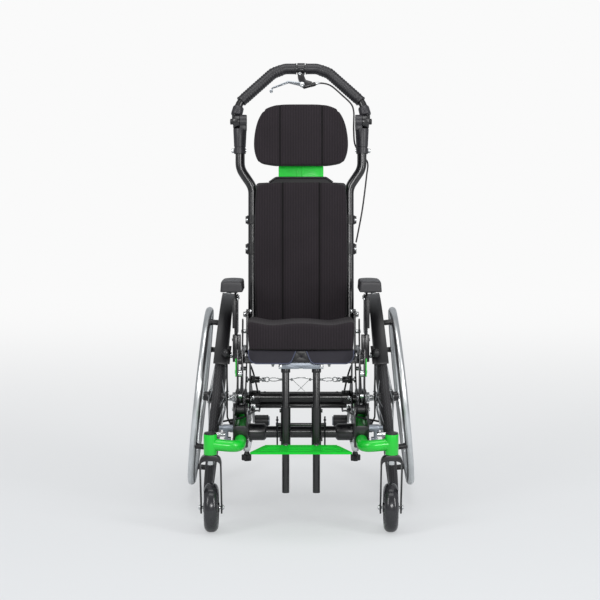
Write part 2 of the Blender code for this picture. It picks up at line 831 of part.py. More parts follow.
def foot_pedal(side, name, pivot):
    """Attendant's brake pedal: flat arm and ribbed rubber tread roll."""
    tip = [(0.010, -0.012), (0.124, -0.066), (0.120, -0.048), (0.008, 0.009)]
    outline = rounded([(-0.009, -0.008), *tip, (-0.009, 0.008)], 0.006, 2)
    low, high = sorted((side * 0.1300, side * 0.1368))
    body = fuse(
        slab(outline, "YZ", low, high),
        bar(side * 0.0920, side * 0.1355, 0.122, -0.058, 0.0172),
        bar(side * 0.0890, side * 0.0925, 0.122, -0.058, 0.0130),
    )
    body = cut(body, bar(side * 0.12, side * 0.145, 0, 0, clearance(0.0040)))
    return finish(body, f"foot_pedal_{name}", RUBBER, pivot)


def clamp_knob(side, name, pivot):
    """Five-lobed hand knob on its stud in the bracket under the cradle."""
    body = fuse(
        rod((0, 0, -0.0460), 0.0180, 0.0095, "Z", 10),
        rod((0, 0, -0.0290), 0.0080, 0.0085, "Z", end_radius=0.0060),
        rod((0, 0, -0.0220), 0.0230, 0.0050, "Z"),
    )
    for k in range(5):
        angle = math.tau * k / 5
        lobe = rod((0.0095 * math.cos(angle), 0.0095 * math.sin(angle), -0.0440), 0.0140, 0.0046, "Z", 6)
        body = fuse(body, lobe)
    return finish(body, f"clamp_knob_{name}", PLASTIC, pivot)


# Seat: rockers, pan, cushions, armrests and footrest


def rocker(side, name):
    """Curved ladder of two plates and spacers, with seat rail, arm socket and back hinge bracket."""
    start, end = ROCKER_FROM - math.pi / 2, ROCKER_TO - math.pi / 2
    front_low = ROCKER_FROM + math.radians(7) - math.pi / 2
    outline = arc((0, 0), ROCKER_OUTER, start, end, 14) + arc((0, 0), ROCKER_INNER, end, front_low, 13)
    outline += [(-0.156, -0.166), (-0.188, -0.166)]
    plates = []
    for x_in, x_out in ((ROCKER_IN, ROCKER_IN + ROCKER_IN_WALL), (ROCKER_OUT - ROCKER_OUT_WALL, ROCKER_OUT)):
        plates.append(slab(outline, "YZ", *sorted((side * x_in, side * x_out))))
    between = (side * (ROCKER_IN + 0.003), side * (ROCKER_OUT - 0.004))
    spacers = []
    for angle in (-29, -8, 15, 40, 62):
        spacers.append(bar(*between, *on_circle(LOCK_RADIUS, math.radians(angle)), 0.006, 6))
    rail = rod((side * SIDE_X, RAIL_FRONT, RAIL_Z), RAIL_REAR - RAIL_FRONT, RAIL_RADIUS, "Y")
    bracket = rounded([(0.090, -0.203), (0.160, -0.203), (0.141, -0.081), (0.109, -0.081)], 0.012, 2)
    body = fuse(
        rail,
        *plates,
        *spacers,
        bar(*between, -0.171, -0.228, 0.009),
        sided_box(side, (0.1600, -0.0125, -0.213), (0.1815, 0.0125, -0.141), 0.0015),
        slab(bracket, "YZ", *sorted((side * 0.1442, side * 0.1530))),
        bar(side * 0.1170, side * 0.1460, BACK_Y, BACK_Z, 0.0040),
        bar(side * 0.1510, side * 0.1570, BACK_Y, BACK_Z, 0.0075, 6),
    )
    body = cut(body, sided_box(side, (0.1705, -0.0085, -0.30), (0.1775, 0.0085, -0.10)))
    return finish(body, f"rocker_{name}", GREEN, seat)


def seat_pan():
    """Pressed pan under the cushions, with lightening holes."""
    outline = rounded([(-0.156, -0.095), (0.156, -0.095), (0.156, 0.085), (-0.156, 0.085)], 0.006, 2)
    holes = []
    for x in (-0.072, 0.072):
        for y in (-0.048, 0.018):
            holes.append([(x + px, y + py) for px, py in arc((0, 0), 0.022, 0, math.tau, 12)[:-1]])
    pan = slab(outline, "XY", PAN_TOP - 0.004, PAN_TOP, holes)
    return finish(pan, "seat_pan", BLACK, seat, smooth=False)


def seat_base():
    """Firm foam base with two rounded front lobes and a groove between them."""
    top, low, half = CUSHION_LOW - GAP, PAN_TOP + GAP, CUSHION_HALF - 0.004
    corners = [(0.0125, top - 0.004), (0.0265, low), (half, low), (half, top)]
    outline = rounded(corners, 0.018, 3, closed=False)
    shape = [*outline, *[(-p[0], p[1]) for p in reversed(outline)]]
    body = slab(shape, "XZ", -0.157, 0.100)
    modifier = body.modifiers.new("round", "BEVEL")
    modifier.width = 0.0035
    modifier.segments = 2
    modifier.limit_method = "ANGLE"
    modifier.angle_limit = math.radians(50)
    return finish(body, "seat_base", FABRIC, seat)


def padded_block(half_x, half_y, half_z, cuts, shape):
    """A unit box cut at the given places, swelled by a function of the place and rounded by Subdivision."""

    def build(bm):
        bmesh.ops.create_cube(bm, size=2.0)
        for axis, places in enumerate(cuts):
            normal = [0.0, 0.0, 0.0]
            normal[axis] = 1.0
            for place in places:
                everything = bm.verts[:] + bm.edges[:] + bm.faces[:]
                spot = [place * n for n in normal]
                bmesh.ops.bisect_plane(bm, geom=everything, plane_co=spot, plane_no=normal)
        for vert in bm.verts:
            vert.co = shape(*vert.co)

    obj = from_bmesh(build)
    moved(obj, Matrix.Diagonal((half_x, half_y, half_z, 1.0)))
    modifier = obj.modifiers.new("soften", "SUBSURF")
    modifier.levels = 1
    modifier.render_levels = 1
    return obj


def seam_cuts(seam):
    """Cuts for an upright pad with a groove at the seam on either side of the middle."""
    across = [seam - 0.07, seam, seam + 0.07, 0.86]
    return ([-u for u in reversed(across)] + across, (), (-0.82, 0.0, 0.82))


def crown(u, v):
    return (1 - abs(u) ** 3) * (1 - abs(v) ** 3)


def seat_cushion():
    """Contoured cushion: raised sides and centre, two thigh hollows, drawn-in lower edge."""
    half_tall = (CUSHION_HIGH - CUSHION_LOW) / 2
    half_deep = (CUSHION_REAR - CUSHION_FRONT) / 2

    def shape(u, v, w):
        wave = -0.16 * math.cos(math.pi * (abs(u) - 0.5) * 2) if abs(u) < 0.999 else 0.0
        hollow = -0.14 * max(0.0, 1 - (v - 0.1) ** 2)
        rise = (w + 1) / 2
        up = w + rise * (wave + hollow * (1 - u * u) + 0.06)
        side_in = 1 - 0.035 * (1 - w) / 2 - 0.02 * abs(v) ** 4
        nose = 1 - 0.03 * abs(w) ** 3
        return Vector((u * side_in, v * nose * (1 - 0.02 * abs(u) ** 4), up))

    cuts = ((-0.85, -0.5, -0.2, 0.2, 0.5, 0.85), (-0.86, 0.0, 0.86), (-0.3,))
    body = padded_block(CUSHION_HALF, half_deep, half_tall, cuts, shape)
    middle = (0, (CUSHION_FRONT + CUSHION_REAR) / 2, (CUSHION_LOW + CUSHION_HIGH) / 2)
    return finish(moved(body, Matrix.Translation(middle)), "seat_cushion", FABRIC, seat)


def channelled(seam, depth, corner):
    """Shape of an upright pad that faces -Y: two vertical seams, crowned front and round corners."""

    def shape(u, v, w):
        front = (1 - v) / 2
        swell = 0.30 * crown(u, w)
        groove = depth * math.exp(-(((abs(u) - seam) / 0.055) ** 2))
        inset = 1 - corner * (abs(u) ** 4) * (abs(w) ** 4)
        rim = 1 - 0.05 * abs(v) ** 2
        return Vector((u * inset * rim, v - front * (swell - groove), w * inset * rim))

    return shape


def back_cushion():
    half_tall = (BACK_TOP - BACK_LOW) / 2
    body = padded_block(BACK_HALF, 0.020, half_tall, seam_cuts(0.385), channelled(0.385, 0.30, 0.05))
    place = Matrix.Translation((0, SHELL_FRONT - GAP - 0.020, (BACK_TOP + BACK_LOW) / 2))
    return finish(moved(body, place), "back_cushion", FABRIC, back)


def headrest_pad(pivot):
    """Upholstered head pad with a boss behind it for the tilt hinge."""

    def shape(u, v, w):
        x, y, z = channelled(0.445, 0.25, 0.16)(u, v, w)
        waist = 1 - 0.08 * max(0.0, w) * abs(u)
        dip = -0.05 * (1 - (2 * u * u)) if w < -0.9 and abs(u) < 0.72 else 0.0
        return Vector((x * waist, y - 0.15 * u * u, z - dip * 0.5))

    pad = baked(padded_block(HEAD_HALF, 0.021, HEAD_HALF_TALL, seam_cuts(0.445), shape))
    moved(pad, Matrix.Translation((0, -0.0165 - 0.021, 0.4825 - HEAD_PIVOT_Z)))
    boss = bar(-0.0100, 0.0100, 0, 0, 0.0070)
    neck = box((-0.0100, -0.024, -0.0070), (0.0100, 0.0, 0.0070))
    body = cut(fuse(pad, neck, boss), bar(-0.02, 0.02, 0, 0, clearance(0.0030)))
    return finish(body, "headrest_pad", FABRIC, pivot)


def armrest(side, name, slide):
    """Height-adjustable arm: flat post, side guard and pad bracket, then the pad itself."""
    guard = rounded([(-0.080, -0.140), (0.080, -0.140), (0.084, -0.035), (-0.090, -0.035)], 0.02, 3)
    body = fuse(
        sided_box(side, (0.1708, -0.0082, -0.211), (0.1772, 0.0082, -0.022)),
        slab(guard, "YZ", *sorted((side * 0.1685, side * 0.1712))),
        sided_box(side, (0.1660, -0.070, -0.0260), (0.1960, 0.050, -0.0210), 0.001),
        bar(side * 0.1640, side * 0.1720, -0.045, -0.0440, 0.0055, 6),
    )
    finish(body, f"arm_post_{name}", BLACK, slide)

    pad = sided_box(side, (0.1520, -0.120, -0.0207), (0.2100, 0.080, 0.0060))
    modifier = pad.modifiers.new("round", "BEVEL")
    modifier.width = 0.008
    modifier.segments = 2
    return finish(pad, f"arm_pad_{name}", PLASTIC, slide)


def footrest_hanger():
    """Clamp block under the seat front with its tail, its lug and two long hanger tubes."""
    top, low = PAN_TOP, -0.2220
    block = box((-0.058, FOOT_TUBE_Y - 0.014, low), (0.058, FOOT_TUBE_Y + 0.014, top), 0.002)
    tail = box((-0.045, FOOT_TUBE_Y + 0.010, low + 0.001), (0.045, -0.070, top - 0.0043))
    lug = box((-0.0095, -0.1500, low + 0.001), (0.0095, -0.1385, -0.1780), 0.001)
    web = box((-0.0085, -0.1450, low + 0.002), (0.0085, -0.1300, top - 0.006))
    body = fuse(block, tail, web, lug)
    for side, _ in SIDES:
        body = fuse(body, rod((side * FOOT_TUBE_X, FOOT_TUBE_Y, -0.545), 0.327, FOOT_TUBE_RADIUS, "Z"))
    return finish(body, "footrest_hanger", BLACK, seat)


def footplate_carrier(slide):
    """Pair of sleeves that slide on the hanger tubes, with their bridge, stop rods and hinge lugs."""
    body = bar(-0.0650, 0.0650, FOOT_TUBE_Y, -0.366, 0.0045)
    for side, _ in SIDES:
        x = side * FOOT_TUBE_X
        body = fuse(
            body,
            rod((x, FOOT_TUBE_Y, -0.425), 0.106, 0.0127, "Z"),
            box((x - 0.006, FOOTPLATE_HINGE_Y - 0.005, -0.427), (x + 0.006, FOOT_TUBE_Y, -0.4135)),
            rod((side * 0.062, FOOT_TUBE_Y, -0.436), 0.092, 0.0022, "Z"),
            bar(side * 0.0590, side * 0.0655, FOOT_TUBE_Y, -0.366, 0.0055),
        )
        body = cut(body, rod((x, FOOT_TUBE_Y, -0.46), 0.2, FOOT_TUBE_RADIUS + GAP, "Z"))
    body = cut(body, bar(-0.1, 0.1, FOOTPLATE_HINGE_Y, FOOTPLATE_Z, clearance(0.0032)))
    return finish(body, "footplate_carrier", BLACK, slide)


def footplate(hinge):
    """Slotted footplate, wider at the front, that flips up on its rear rod."""
    front, rear = -FOOTPLATE_DEPTH, -0.0045
    outline = rounded([(0.097, rear), (-0.097, rear), (-0.131, front), (0.131, front)], 0.008, 3)
    slots = []
    for row in range(3):
        y = -0.040 - row * 0.032
        spread = 0.097 + 0.034 * (-y / FOOTPLATE_DEPTH) - 0.016
        for x0, x1 in ((-spread, -0.052), (-0.034, 0.034), (0.052, spread)):
            slots.append(((x0, y - 0.008, -0.01), (x1, y + 0.008, 0.01)))
    for x in (-FOOT_TUBE_X, FOOT_TUBE_X):
        slots.append(((x - 0.0066, -0.0085, -0.01), (x + 0.0066, 0.002, 0.01)))
    plate = cut(slab(outline, "XY", -0.0025, 0.0025), boxes(slots))
    spans = ((-0.094, -0.050), (-0.030, 0.030), (0.050, 0.094))
    tabs = [box((x0, -0.0060, -0.0022), (x1, 0.0, 0.0022)) for x0, x1 in spans]
    hinge_rod = bar(-0.094, 0.094, 0, 0, 0.0032)
    return finish(fuse(plate, *tabs, hinge_rod), "footplate", GREEN, hinge, smooth=False)


# Back: canes, shell, head mount and stem


def back_frame():
    """Two swept canes joined by a brace, bored at the foot for the hinge bolts."""
    body = bar(-CANE_X, CANE_X, 0, 0.100, 0.008)
    for side, _ in SIDES:
        low_x, top_x = side * CANE_X, side * CANE_TOP_X
        path = [(low_x, 0, -0.016), (low_x, 0, 0.345), (top_x, 0, 0.397), (top_x, 0, CANE_TOP)]
        body = fuse(body, tube(rounded(path, 0.055, 4, closed=False), CANE_RADIUS, 2))
        body = cut(body, bar(side * 0.11, side * 0.15, 0, 0, clearance(0.0040)))
    return finish(body, "back_frame", BLACK, back)


def back_shell():
    """Moulded shell behind the cushion, with a raised top lip and four clamps round the canes."""
    half, shoulder, lip = 0.122, 0.082, 0.066
    low, high, top = -0.030, 0.356, 0.371
    corners = [(-half, low), (half, low), (half, high), (shoulder, high + 0.002), (lip, top)]
    outline = rounded([*corners, (-lip, top), (-shoulder, high + 0.002), (-half, high)], 0.010, 2)
    body = slab(outline, "XZ", SHELL_FRONT, SHELL_BACK)
    for side, _ in SIDES:
        x = side * CANE_X
        for height, tall in ((0.245, 0.024), (0.163, 0.030)):
            body = fuse(
                body,
                sided_box(side, (0.112, SHELL_BACK - 0.002, height), (0.1330, -0.006, height + tall)),
                rod((x, 0, height), tall, 0.0160, "Z"),
            )
            body = cut(body, rod((x, 0, height - 0.01), tall + 0.02, CANE_RADIUS + 0.0006, "Z", 12))
    return finish(body, "back_shell", PLASTIC, back)


def headrest_mount():
    """Green bracket plate with its stem socket, bolted to the shell."""
    front = SHELL_BACK + GAP
    plate_outline = rounded([(-0.061, 0.325), (0.061, 0.325), (0.061, 0.404), (-0.061, 0.404)], 0.006, 2)
    plate = slab(plate_outline, "XZ", front, front + 0.003)
    socket = box((-0.0105, front + 0.001, 0.335), (0.0105, 0.0065, 0.392), 0.0015)
    ribs = []
    for x in (-0.009, 0.009):
        ribs.append(box((x - 0.002, front - 0.0015, 0.374), (x + 0.002, front + 0.002, 0.402)))
    body = fuse(plate, socket, *ribs)
    body = cut(body, box((-0.0063, -0.0093, 0.30), (0.0063, 0.0033, 0.42)))
    return finish(body, "headrest_mount", GREEN, back)


def headrest_stem(slide):
    """Square stem that slides in the mount, with a fork and pin for the head pad."""
    half = 0.006
    stem = box((-half, -0.009, 0.318), (half, 0.003, 0.476), 0.001)
    bridge = box((-0.0160, -0.0130, 0.4705), (0.0160, 0.003, 0.4770))
    ear = rounded([(-0.0140, 0.4710), (-0.0010, 0.4710), (-0.0010, 0.4950), (-0.0140, 0.4950)], 0.005, 2)
    lugs = [slab(ear, "YZ", low, low + 0.004) for low in (-0.0160, 0.0120)]
    pin = bar(-0.0165, 0.0165, HEAD_PIVOT_Y, HEAD_PIVOT_Z, 0.0030)
    return finish(fuse(stem, bridge, *lugs, pin), "headrest_stem", STEEL, slide)


# Push bar: knuckles, arch, grips, tilt lever and cable


def knuckle(side, name):
    """Boot that slides on the cane, clamp collar and inner half of the angle joint."""
    x = side * (CANE_TOP_X + 0.0005)
    boot = rod((x, 0, -0.0690), 0.0495, 0.0160, "Z", end_radius=0.0185)
    collar = rod((x, 0, -0.0880), 0.0165, 0.0160, "Z")
    neck = rod((x, 0, -0.0730), 0.0050, 0.0148, "Z")
    disc = bar(side * 0.1480, side * (LUG_FROM - GAP), 0, 0, KNUCKLE_RADIUS)
    web = sided_box(side, (0.1480, -0.0150, -0.0240), (LUG_FROM - GAP, 0.0150, -0.0080))
    pin = bar(side * (LUG_FROM - 0.002), side * 0.1755, 0, 0, 0.0060)
    screw = bar(side * 0.1800, side * 0.1900, 0, -0.0795, 0.0045)
    body = fuse(boot, neck, collar, web, disc, pin, screw)
    body = cut(body, rod((side * CANE_TOP_X, 0, -0.1), 0.0725, CANE_RADIUS + 0.0010, "Z"))
    return finish(moved(body, Matrix.Translation((0, 0, KNUCKLE_Z))), f"knuckle_{name}", PLASTIC, back)


def bar_path():
    """Points of the arch from the user's left to the right."""
    half = [(0.1782, 0.0), (0.1782, 0.0265), (0.1660, 0.0570), (0.0770, 0.1425), (0.0440, BAR_TOP)]
    points = [(x, 0.0, z) for x, z in half] + [(-x, 0.0, z) for x, z in reversed(half)]
    return rounded(points, 0.035, 2, closed=False)


def push_bar():
    body = tube(bar_path(), BAR_RADIUS, 2)
    for side, _ in SIDES:
        body = fuse(body, bar(side * LUG_FROM, side * LUG_TO, 0, 0, KNUCKLE_RADIUS))
        body = cut(
            body,
            bar(side * 0.16, side * 0.178, 0, 0, clearance(0.0060)),
            bar(side * 0.1760, side * 0.20, 0, 0, 0.0085),
        )
    clamp = bar(-0.0105, 0.0105, 0, BAR_TOP, 0.0160)
    stalk = tube([(0.002, 0, BAR_TOP - 0.008), (0.002, 0, 0.128), (0.010, 0, 0.108)], 0.0070, 1)
    barrel = tube([(0.006, 0, 0.1015), (0.040, 0, 0.1115)], 0.0055, 1)
    pin = rod((LEVER_X, -0.0135, LEVER_Z), 0.0100, 0.0030, "Y")
    head = rod((LEVER_X, -0.0150, LEVER_Z), 0.0026, 0.0052, "Y")
    return finish(fuse(body, clamp, stalk, barrel, pin, head), "push_bar", BLACK, bar_pivot)


def ring_points(centre, ahead, radius):
    """Eight points round a spot on the arch, square to the way ahead."""
    across = Vector((-ahead.z, 0.0, ahead.x)).normalized()
    angles = [math.tau * k / 8 for k in range(8)]
    return [centre + across * radius * math.cos(a) + Vector((0, radius * math.sin(a), 0)) for a in angles]


def hollow_sleeve(outer_path, outer_radii, inner_path, inner_radius):
    """A closed sleeve with its own inner wall; both paths share their two end points."""

    def wall(bm, path, radii):
        rows = []
        for i, centre in enumerate(path):
            ahead = path[min(i + 1, len(path) - 1)] - path[max(i - 1, 0)]
            rows.append([bm.verts.new(p) for p in ring_points(centre, ahead, radii[i])])
        for row, following in zip(rows, rows[1:]):
            join(bm, row, following)
        return rows[0], rows[-1]

    def join(bm, row, following):
        for k in range(8):
            n = (k + 1) % 8
            bm.faces.new((row[k], row[n], following[n], following[k]))

    def build(bm):
        outer_ends = wall(bm, outer_path, outer_radii)
        inner_ends = wall(bm, inner_path, [inner_radius] * len(inner_path))
        for outer_end, inner_end in zip(outer_ends, inner_ends):
            join(bm, outer_end, inner_end)

    return from_bmesh(build)


def grip(side, name):
    """Soft sleeve on the bar: smooth near the middle, ribbed along the slope."""
    bends = sorted((p for p in bar_path() if side * p.x > 0 and 0.058 < p.z), key=lambda p: abs(p.x))
    route = [Vector((side * 0.0125, 0, BAR_TOP)), *bends]
    spaced = smooth_route(route, 0.0088)
    radii = []
    for k in range(len(spaced)):
        ribbed = 5 <= k <= len(spaced) - 4
        radii.append(GRIP_RADIUS * (1.07 if ribbed and k % 2 else 1.0))
    sleeve = hollow_sleeve(spaced, radii, route, BAR_RADIUS + 0.0006)
    return finish(sleeve, f"grip_{name}", RUBBER, bar_pivot)


def knuckle_button(side, name, slide):
    body = bar(side * 0.1805, side * 0.1935, 0, 0, 0.0080)
    return finish(body, f"knuckle_button_{name}", PLASTIC, slide)


def tilt_lever(pivot):
    """Hand lever that releases the tilt locks: a flat blade with a hooked tip."""
    upper = [(0.006, -0.003), (0.004, 0.006), (-0.038, 0.0110), (-0.082, -0.0080)]
    hook = [(-0.0865, -0.0180), (-0.0835, -0.0190), (-0.0790, -0.0120)]
    lower = [(-0.037, 0.0040), (-0.002, -0.0050)]
    blade = slab(rounded(upper + hook + lower, 0.003, 2), "XZ", -0.0118, -0.0079)
    tip = rod((-0.0845, -0.0125, -0.0190), 0.007, 0.0045, "Y")
    eye = rod((0, -0.0120, 0), 0.0043, 0.0075, "Y")
    body = cut(fuse(blade, tip, eye), rod((0, -0.02, 0), 0.02, clearance(0.0030), "Y"))
    return finish(body, "tilt_lever", ANODISED, pivot)


def tilt_cable_upper():
    route = [
        (0.0412, 0, 0.1119),
        (0.0600, 0, 0.1130),
        (0.0830, 0, 0.1050),
        (0.1130, 0, 0.0775),
        (0.1370, 0, 0.0520),
        (0.1440, 0, 0.0300),
        (0.1440, 0, 0.0006),
    ]
    cable = tube_curve("cable", [smooth_route(route, 0.012)], 0.0022, 1)
    return finish(cable, "tilt_cable_upper", RUBBER, bar_pivot)


def tilt_cable_lower():
    route = [
        (0.1440, 0.000, 0.5222),
        (0.1440, 0.006, 0.5000),
        (0.1480, 0.022, 0.4650),
        (0.1660, 0.024, 0.4360),
        (0.1820, 0.016, 0.4150),
        (0.1790, 0.012, 0.3760),
        (0.1680, 0.008, 0.2900),
        (0.1560, 0.004, 0.2250),
        (0.1500, 0.000, 0.1960),
    ]
    cable = tube_curve("cable", [smooth_route(route, 0.016)], 0.0022, 1)
    return finish(cable, "tilt_cable_lower", RUBBER, back)


# Assembly

for side, name in SIDES:
    axle = frame(f"wheel_axle_{name}", None, (0, 0, 0))
    axle.matrix_basis = wheel_place(side)
    tyre(side, name, axle)
    laced_wheel(side, name, axle)
    handrim(side, name, axle)
    axle_button(side, name)
    base_frame(side, name)
    cradle(side, name)
    fender(side, name)
    brake_cable(side, name)
    stem = frame(f"caster_stem_{name}", None, (side * CASTER_X, STEM_Y, 0))
    caster_fork(side, name, stem)
    caster_wheel(side, name, frame(f"caster_axle_{name}", stem, (0, CASTER_TRAIL, CASTER_RADIUS)))
    tilt_roller(side, name, frame(f"roller_axle_{name}", None, (0, *roller_centre())))
    tilt_lock(side, name, frame(f"tilt_lock_{name}_slide", None, (0, *lock_centre())))
    wheel_lock(side, name, frame(f"wheel_lock_{name}_pivot", None, (0, LOCK_ARM_Y, LOCK_ARM_Z)))
    foot_pedal(side, name, frame(f"foot_pedal_{name}_pivot", None, (0, PEDAL_Y, PEDAL_Z)))
    knob_place = (side * KNOB_X, CROSSBAR_Y, CRADLE_FLOOR - KNOB_DROP)
    clamp_knob(side, name, frame(f"clamp_knob_{name}_pivot", None, knob_place))
    rocker(side, name)
    armrest(side, name, frame(f"arm_{name}_slide", seat, (0, 0, 0)))
    knuckle(side, name)
    grip(side, name)
    knuckle_button(side, name, frame(f"knuckle_button_{name}_slide", bar_pivot, (0, 0, 0)))

lower_crossbar()
camber_tube()
seat_pan()
seat_base()
seat_cushion()
footrest_hanger()
foot_slide = frame("footplate_height_slide", seat, (0, 0, 0))
footplate_carrier(foot_slide)
footplate(frame("footplate_hinge", foot_slide, (0, FOOTPLATE_HINGE_Y, FOOTPLATE_Z)))
back_frame()
back_shell()
back_cushion()
headrest_mount()
head_slide = frame("headrest_height_slide", back, (0, 0, 0))
headrest_stem(head_slide)
headrest_pad(frame("headrest_tilt_pivot", head_slide, (0, HEAD_PIVOT_Y, HEAD_PIVOT_Z)))
push_bar()
tilt_lever(frame("tilt_lever_pivot", bar_pivot, (LEVER_X, 0, LEVER_Z)))
tilt_cable_upper()
tilt_cable_lower()
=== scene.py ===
import math

import bmesh
import bpy
from mathutils import Matrix, Vector


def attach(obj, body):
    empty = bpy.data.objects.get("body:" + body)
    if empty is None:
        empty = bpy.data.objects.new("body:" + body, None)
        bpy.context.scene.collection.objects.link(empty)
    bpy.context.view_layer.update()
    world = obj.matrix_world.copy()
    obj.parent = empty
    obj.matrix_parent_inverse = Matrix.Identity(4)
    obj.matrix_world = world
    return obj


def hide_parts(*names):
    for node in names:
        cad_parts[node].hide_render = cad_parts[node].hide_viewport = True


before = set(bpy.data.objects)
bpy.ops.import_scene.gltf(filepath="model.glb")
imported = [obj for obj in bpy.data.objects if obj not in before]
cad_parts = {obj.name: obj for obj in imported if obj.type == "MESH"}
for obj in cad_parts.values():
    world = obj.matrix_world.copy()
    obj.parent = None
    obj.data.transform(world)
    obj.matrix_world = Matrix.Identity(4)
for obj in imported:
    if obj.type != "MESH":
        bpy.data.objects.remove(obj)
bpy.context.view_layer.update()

scene = bpy.context.scene


# Camera: 5.3 m in front of the chair's middle at chest height, looking slightly down
# at the middle of the chair. The lens gives the photograph's narrow view.
camera_data = bpy.data.cameras.new("camera")
camera_data.sensor_width = 36.0
camera_data.lens = 36.0 * 1988 / 600
camera = bpy.data.objects.new("camera", camera_data)
camera.location = (-0.0027, -5.292, 1.345)
camera.rotation_euler = (math.radians(90 - 8.42), 0.0, 0.0)
scene.collection.objects.link(camera)
scene.camera = camera


# Studio: a white paper sweep and large soft boxes. The paper runs from the floor up
# behind the chair in one curve, takes its shadow and shows as white in reflections.
def linear(hex_text):
    channels = [int(hex_text[i : i + 2], 16) / 255 for i in (0, 2, 4)]
    return (*[c / 12.92 if c <= 0.04045 else ((c + 0.055) / 1.055) ** 2.4 for c in channels], 1.0)


def add(tree, kind, settings=None, **inputs):
    """One node: settings are its own options, inputs are values or (node, output) links."""
    node = tree.nodes.new(kind)
    for key, value in (settings or {}).items():
        setattr(node, key, value)
    for key, value in inputs.items():
        numbered = key[0] == "_" and key[1:].isdigit()
        socket = node.inputs[int(key[1:])] if numbered else node.inputs[key.replace("_", " ")]
        if isinstance(value, tuple) and isinstance(value[0], bpy.types.Node):
            tree.links.new(value[0].outputs[value[1]], socket)
        else:
            socket.default_value = value
    return node


# The camera sees half the paper's own shade, so the shadow stays, and half a painted glow,
# all of it far behind, where the paper rises. The glow is painted light, greyer in front and white far behind.
PAPER = bpy.data.materials.new("white_paper_sweep")
PAPER.use_nodes = True
tree = PAPER.node_tree
tree.nodes.clear()
place = add(tree, "ShaderNodeTexCoord")
where = add(tree, "ShaderNodeSeparateXYZ", Vector=(place, "Object"))
far = add(
    tree, "ShaderNodeMapRange", {"interpolation_type": "SMOOTHSTEP"}, Value=(where, "Y"), From_Min=-1.3,
    From_Max=3.6,
)
# painted shade: the glow's colour runs from grey in front of the chair to white far behind
painted_glow_tone = add(
    tree, "ShaderNodeMix", {"data_type": "RGBA"}, _0=(far, 0), _6=linear("E2E4E6"), _7=linear("FAFAFA"),
)
share = add(tree, "ShaderNodeMapRange", Value=(far, 0), To_Min=0.5, To_Max=1.0)
path = add(tree, "ShaderNodeLightPath")
seen = add(tree, "ShaderNodeMath", {"operation": "MULTIPLY"}, _0=(path, "Is Camera Ray"), _1=(share, 0))
paint = add(tree, "ShaderNodeBsdfDiffuse", Color=linear("DCDEE0"))
glow = add(tree, "ShaderNodeEmission", Color=(painted_glow_tone, 2), Strength=1.0)
mix = add(tree, "ShaderNodeMixShader", _0=(seen, 0), _1=(paint, 0), _2=(glow, 0))
add(tree, "ShaderNodeOutputMaterial", Surface=(mix, 0))

bm = bmesh.new()
profile = [(-7.0, 0.0), (3.0, 0.0)]
for k in range(1, 17):
    turn = math.pi / 2 * k / 16
    profile.append((3.0 + 3.0 * math.sin(turn), 3.0 - 3.0 * math.cos(turn)))
profile.append((6.0, 7.0))
verts = [bm.verts.new((-8.0, y, z)) for y, z in profile]
edges = [bm.edges.new(pair) for pair in zip(verts, verts[1:])]
grown = bmesh.ops.extrude_edge_only(bm, edges=edges)["geom"]
wide = [item for item in grown if isinstance(item, bmesh.types.BMVert)]
bmesh.ops.translate(bm, verts=wide, vec=(16.0, 0.0, 0.0))
mesh = bpy.data.meshes.new("studio_sweep")
bm.to_mesh(mesh)
bm.free()
mesh.materials.append(PAPER)
mesh.shade_smooth()
sweep = bpy.data.objects.new("studio_sweep", mesh)
scene.collection.objects.link(sweep)

world = bpy.data.worlds.new("studio")
world.use_nodes = True
world.node_tree.nodes["Background"].inputs["Color"].default_value = linear("F4F6F8")
world.node_tree.nodes["Background"].inputs["Strength"].default_value = 0.44
scene.world = world
scene.view_settings.view_transform = "Standard"


def soft_box(name, place, aim, size, power):
    lamp = bpy.data.lights.new(name, "AREA")
    lamp.shape = "RECTANGLE"
    lamp.size, lamp.size_y = size
    lamp.energy = power
    obj = bpy.data.objects.new(name, lamp)
    obj.location = place
    obj.rotation_euler = (Vector(aim) - Vector(place)).to_track_quat("-Z", "Y").to_euler()
    scene.collection.objects.link(obj)


soft_box("key_left", (-2.8, -2.6, 2.8), (0, 0, 0.6), (1.2, 2.4), 56)
soft_box("key_right", (3.0, -2.4, 2.2), (0, 0, 0.6), (1.0, 2.8), 67)
soft_box("front", (0.5, -5.6, 2.3), (0, 0, 0.6), (1.8, 1.0), 96)
soft_box("top", (0.0, -0.4, 3.6), (0, 0, 0.5), (2.4, 2.0), 39)


def new_material(name):
    """A new material by name, its node tree and the object coordinates."""
    material = bpy.data.materials.new(name)
    material.use_nodes = True
    tree = material.node_tree
    return material, tree, (add(tree, "ShaderNodeTexCoord"), "Object")


def noise(tree, place, size, detail, roughness=0.5):
    """Noise with features of about the given size in metres."""
    return add(
        tree, "ShaderNodeTexNoise", Vector=place, Scale=1 / size, Detail=detail, Roughness=roughness,
    ), "Fac"


def remap(tree, value, low, high, start=0.0, end=1.0):
    """A value between start and end, taken to the range from low to high."""
    return add(
        tree, "ShaderNodeMapRange", Value=value, From_Min=start, From_Max=end, To_Min=low, To_Max=high,
    ), 0


def surface(tree, colour, shade, rough, height, strength, distance=0.0002, **values):
    """Joins a shaded colour, a roughness and a relief to the shader, and sets its plain values."""
    shader = tree.nodes["Principled BSDF"]
    shader.inputs["Base Color"].default_value = linear(colour)
    if shade:
        mixed = {"data_type": "RGBA", "blend_type": "MULTIPLY"}
        tint = add(tree, "ShaderNodeMix", mixed, _0=1.0, _6=linear(colour), _7=shade)
        tree.links.new(tint.outputs[2], shader.inputs["Base Color"])
    tree.links.new(rough[0].outputs[rough[1]], shader.inputs["Roughness"])
    bump = add(tree, "ShaderNodeBump", Strength=strength, Distance=distance, Height=height)
    tree.links.new(bump.outputs[0], shader.inputs["Normal"])
    for key, value in values.items():
        shader.inputs[key.replace("_", " ")].default_value = value


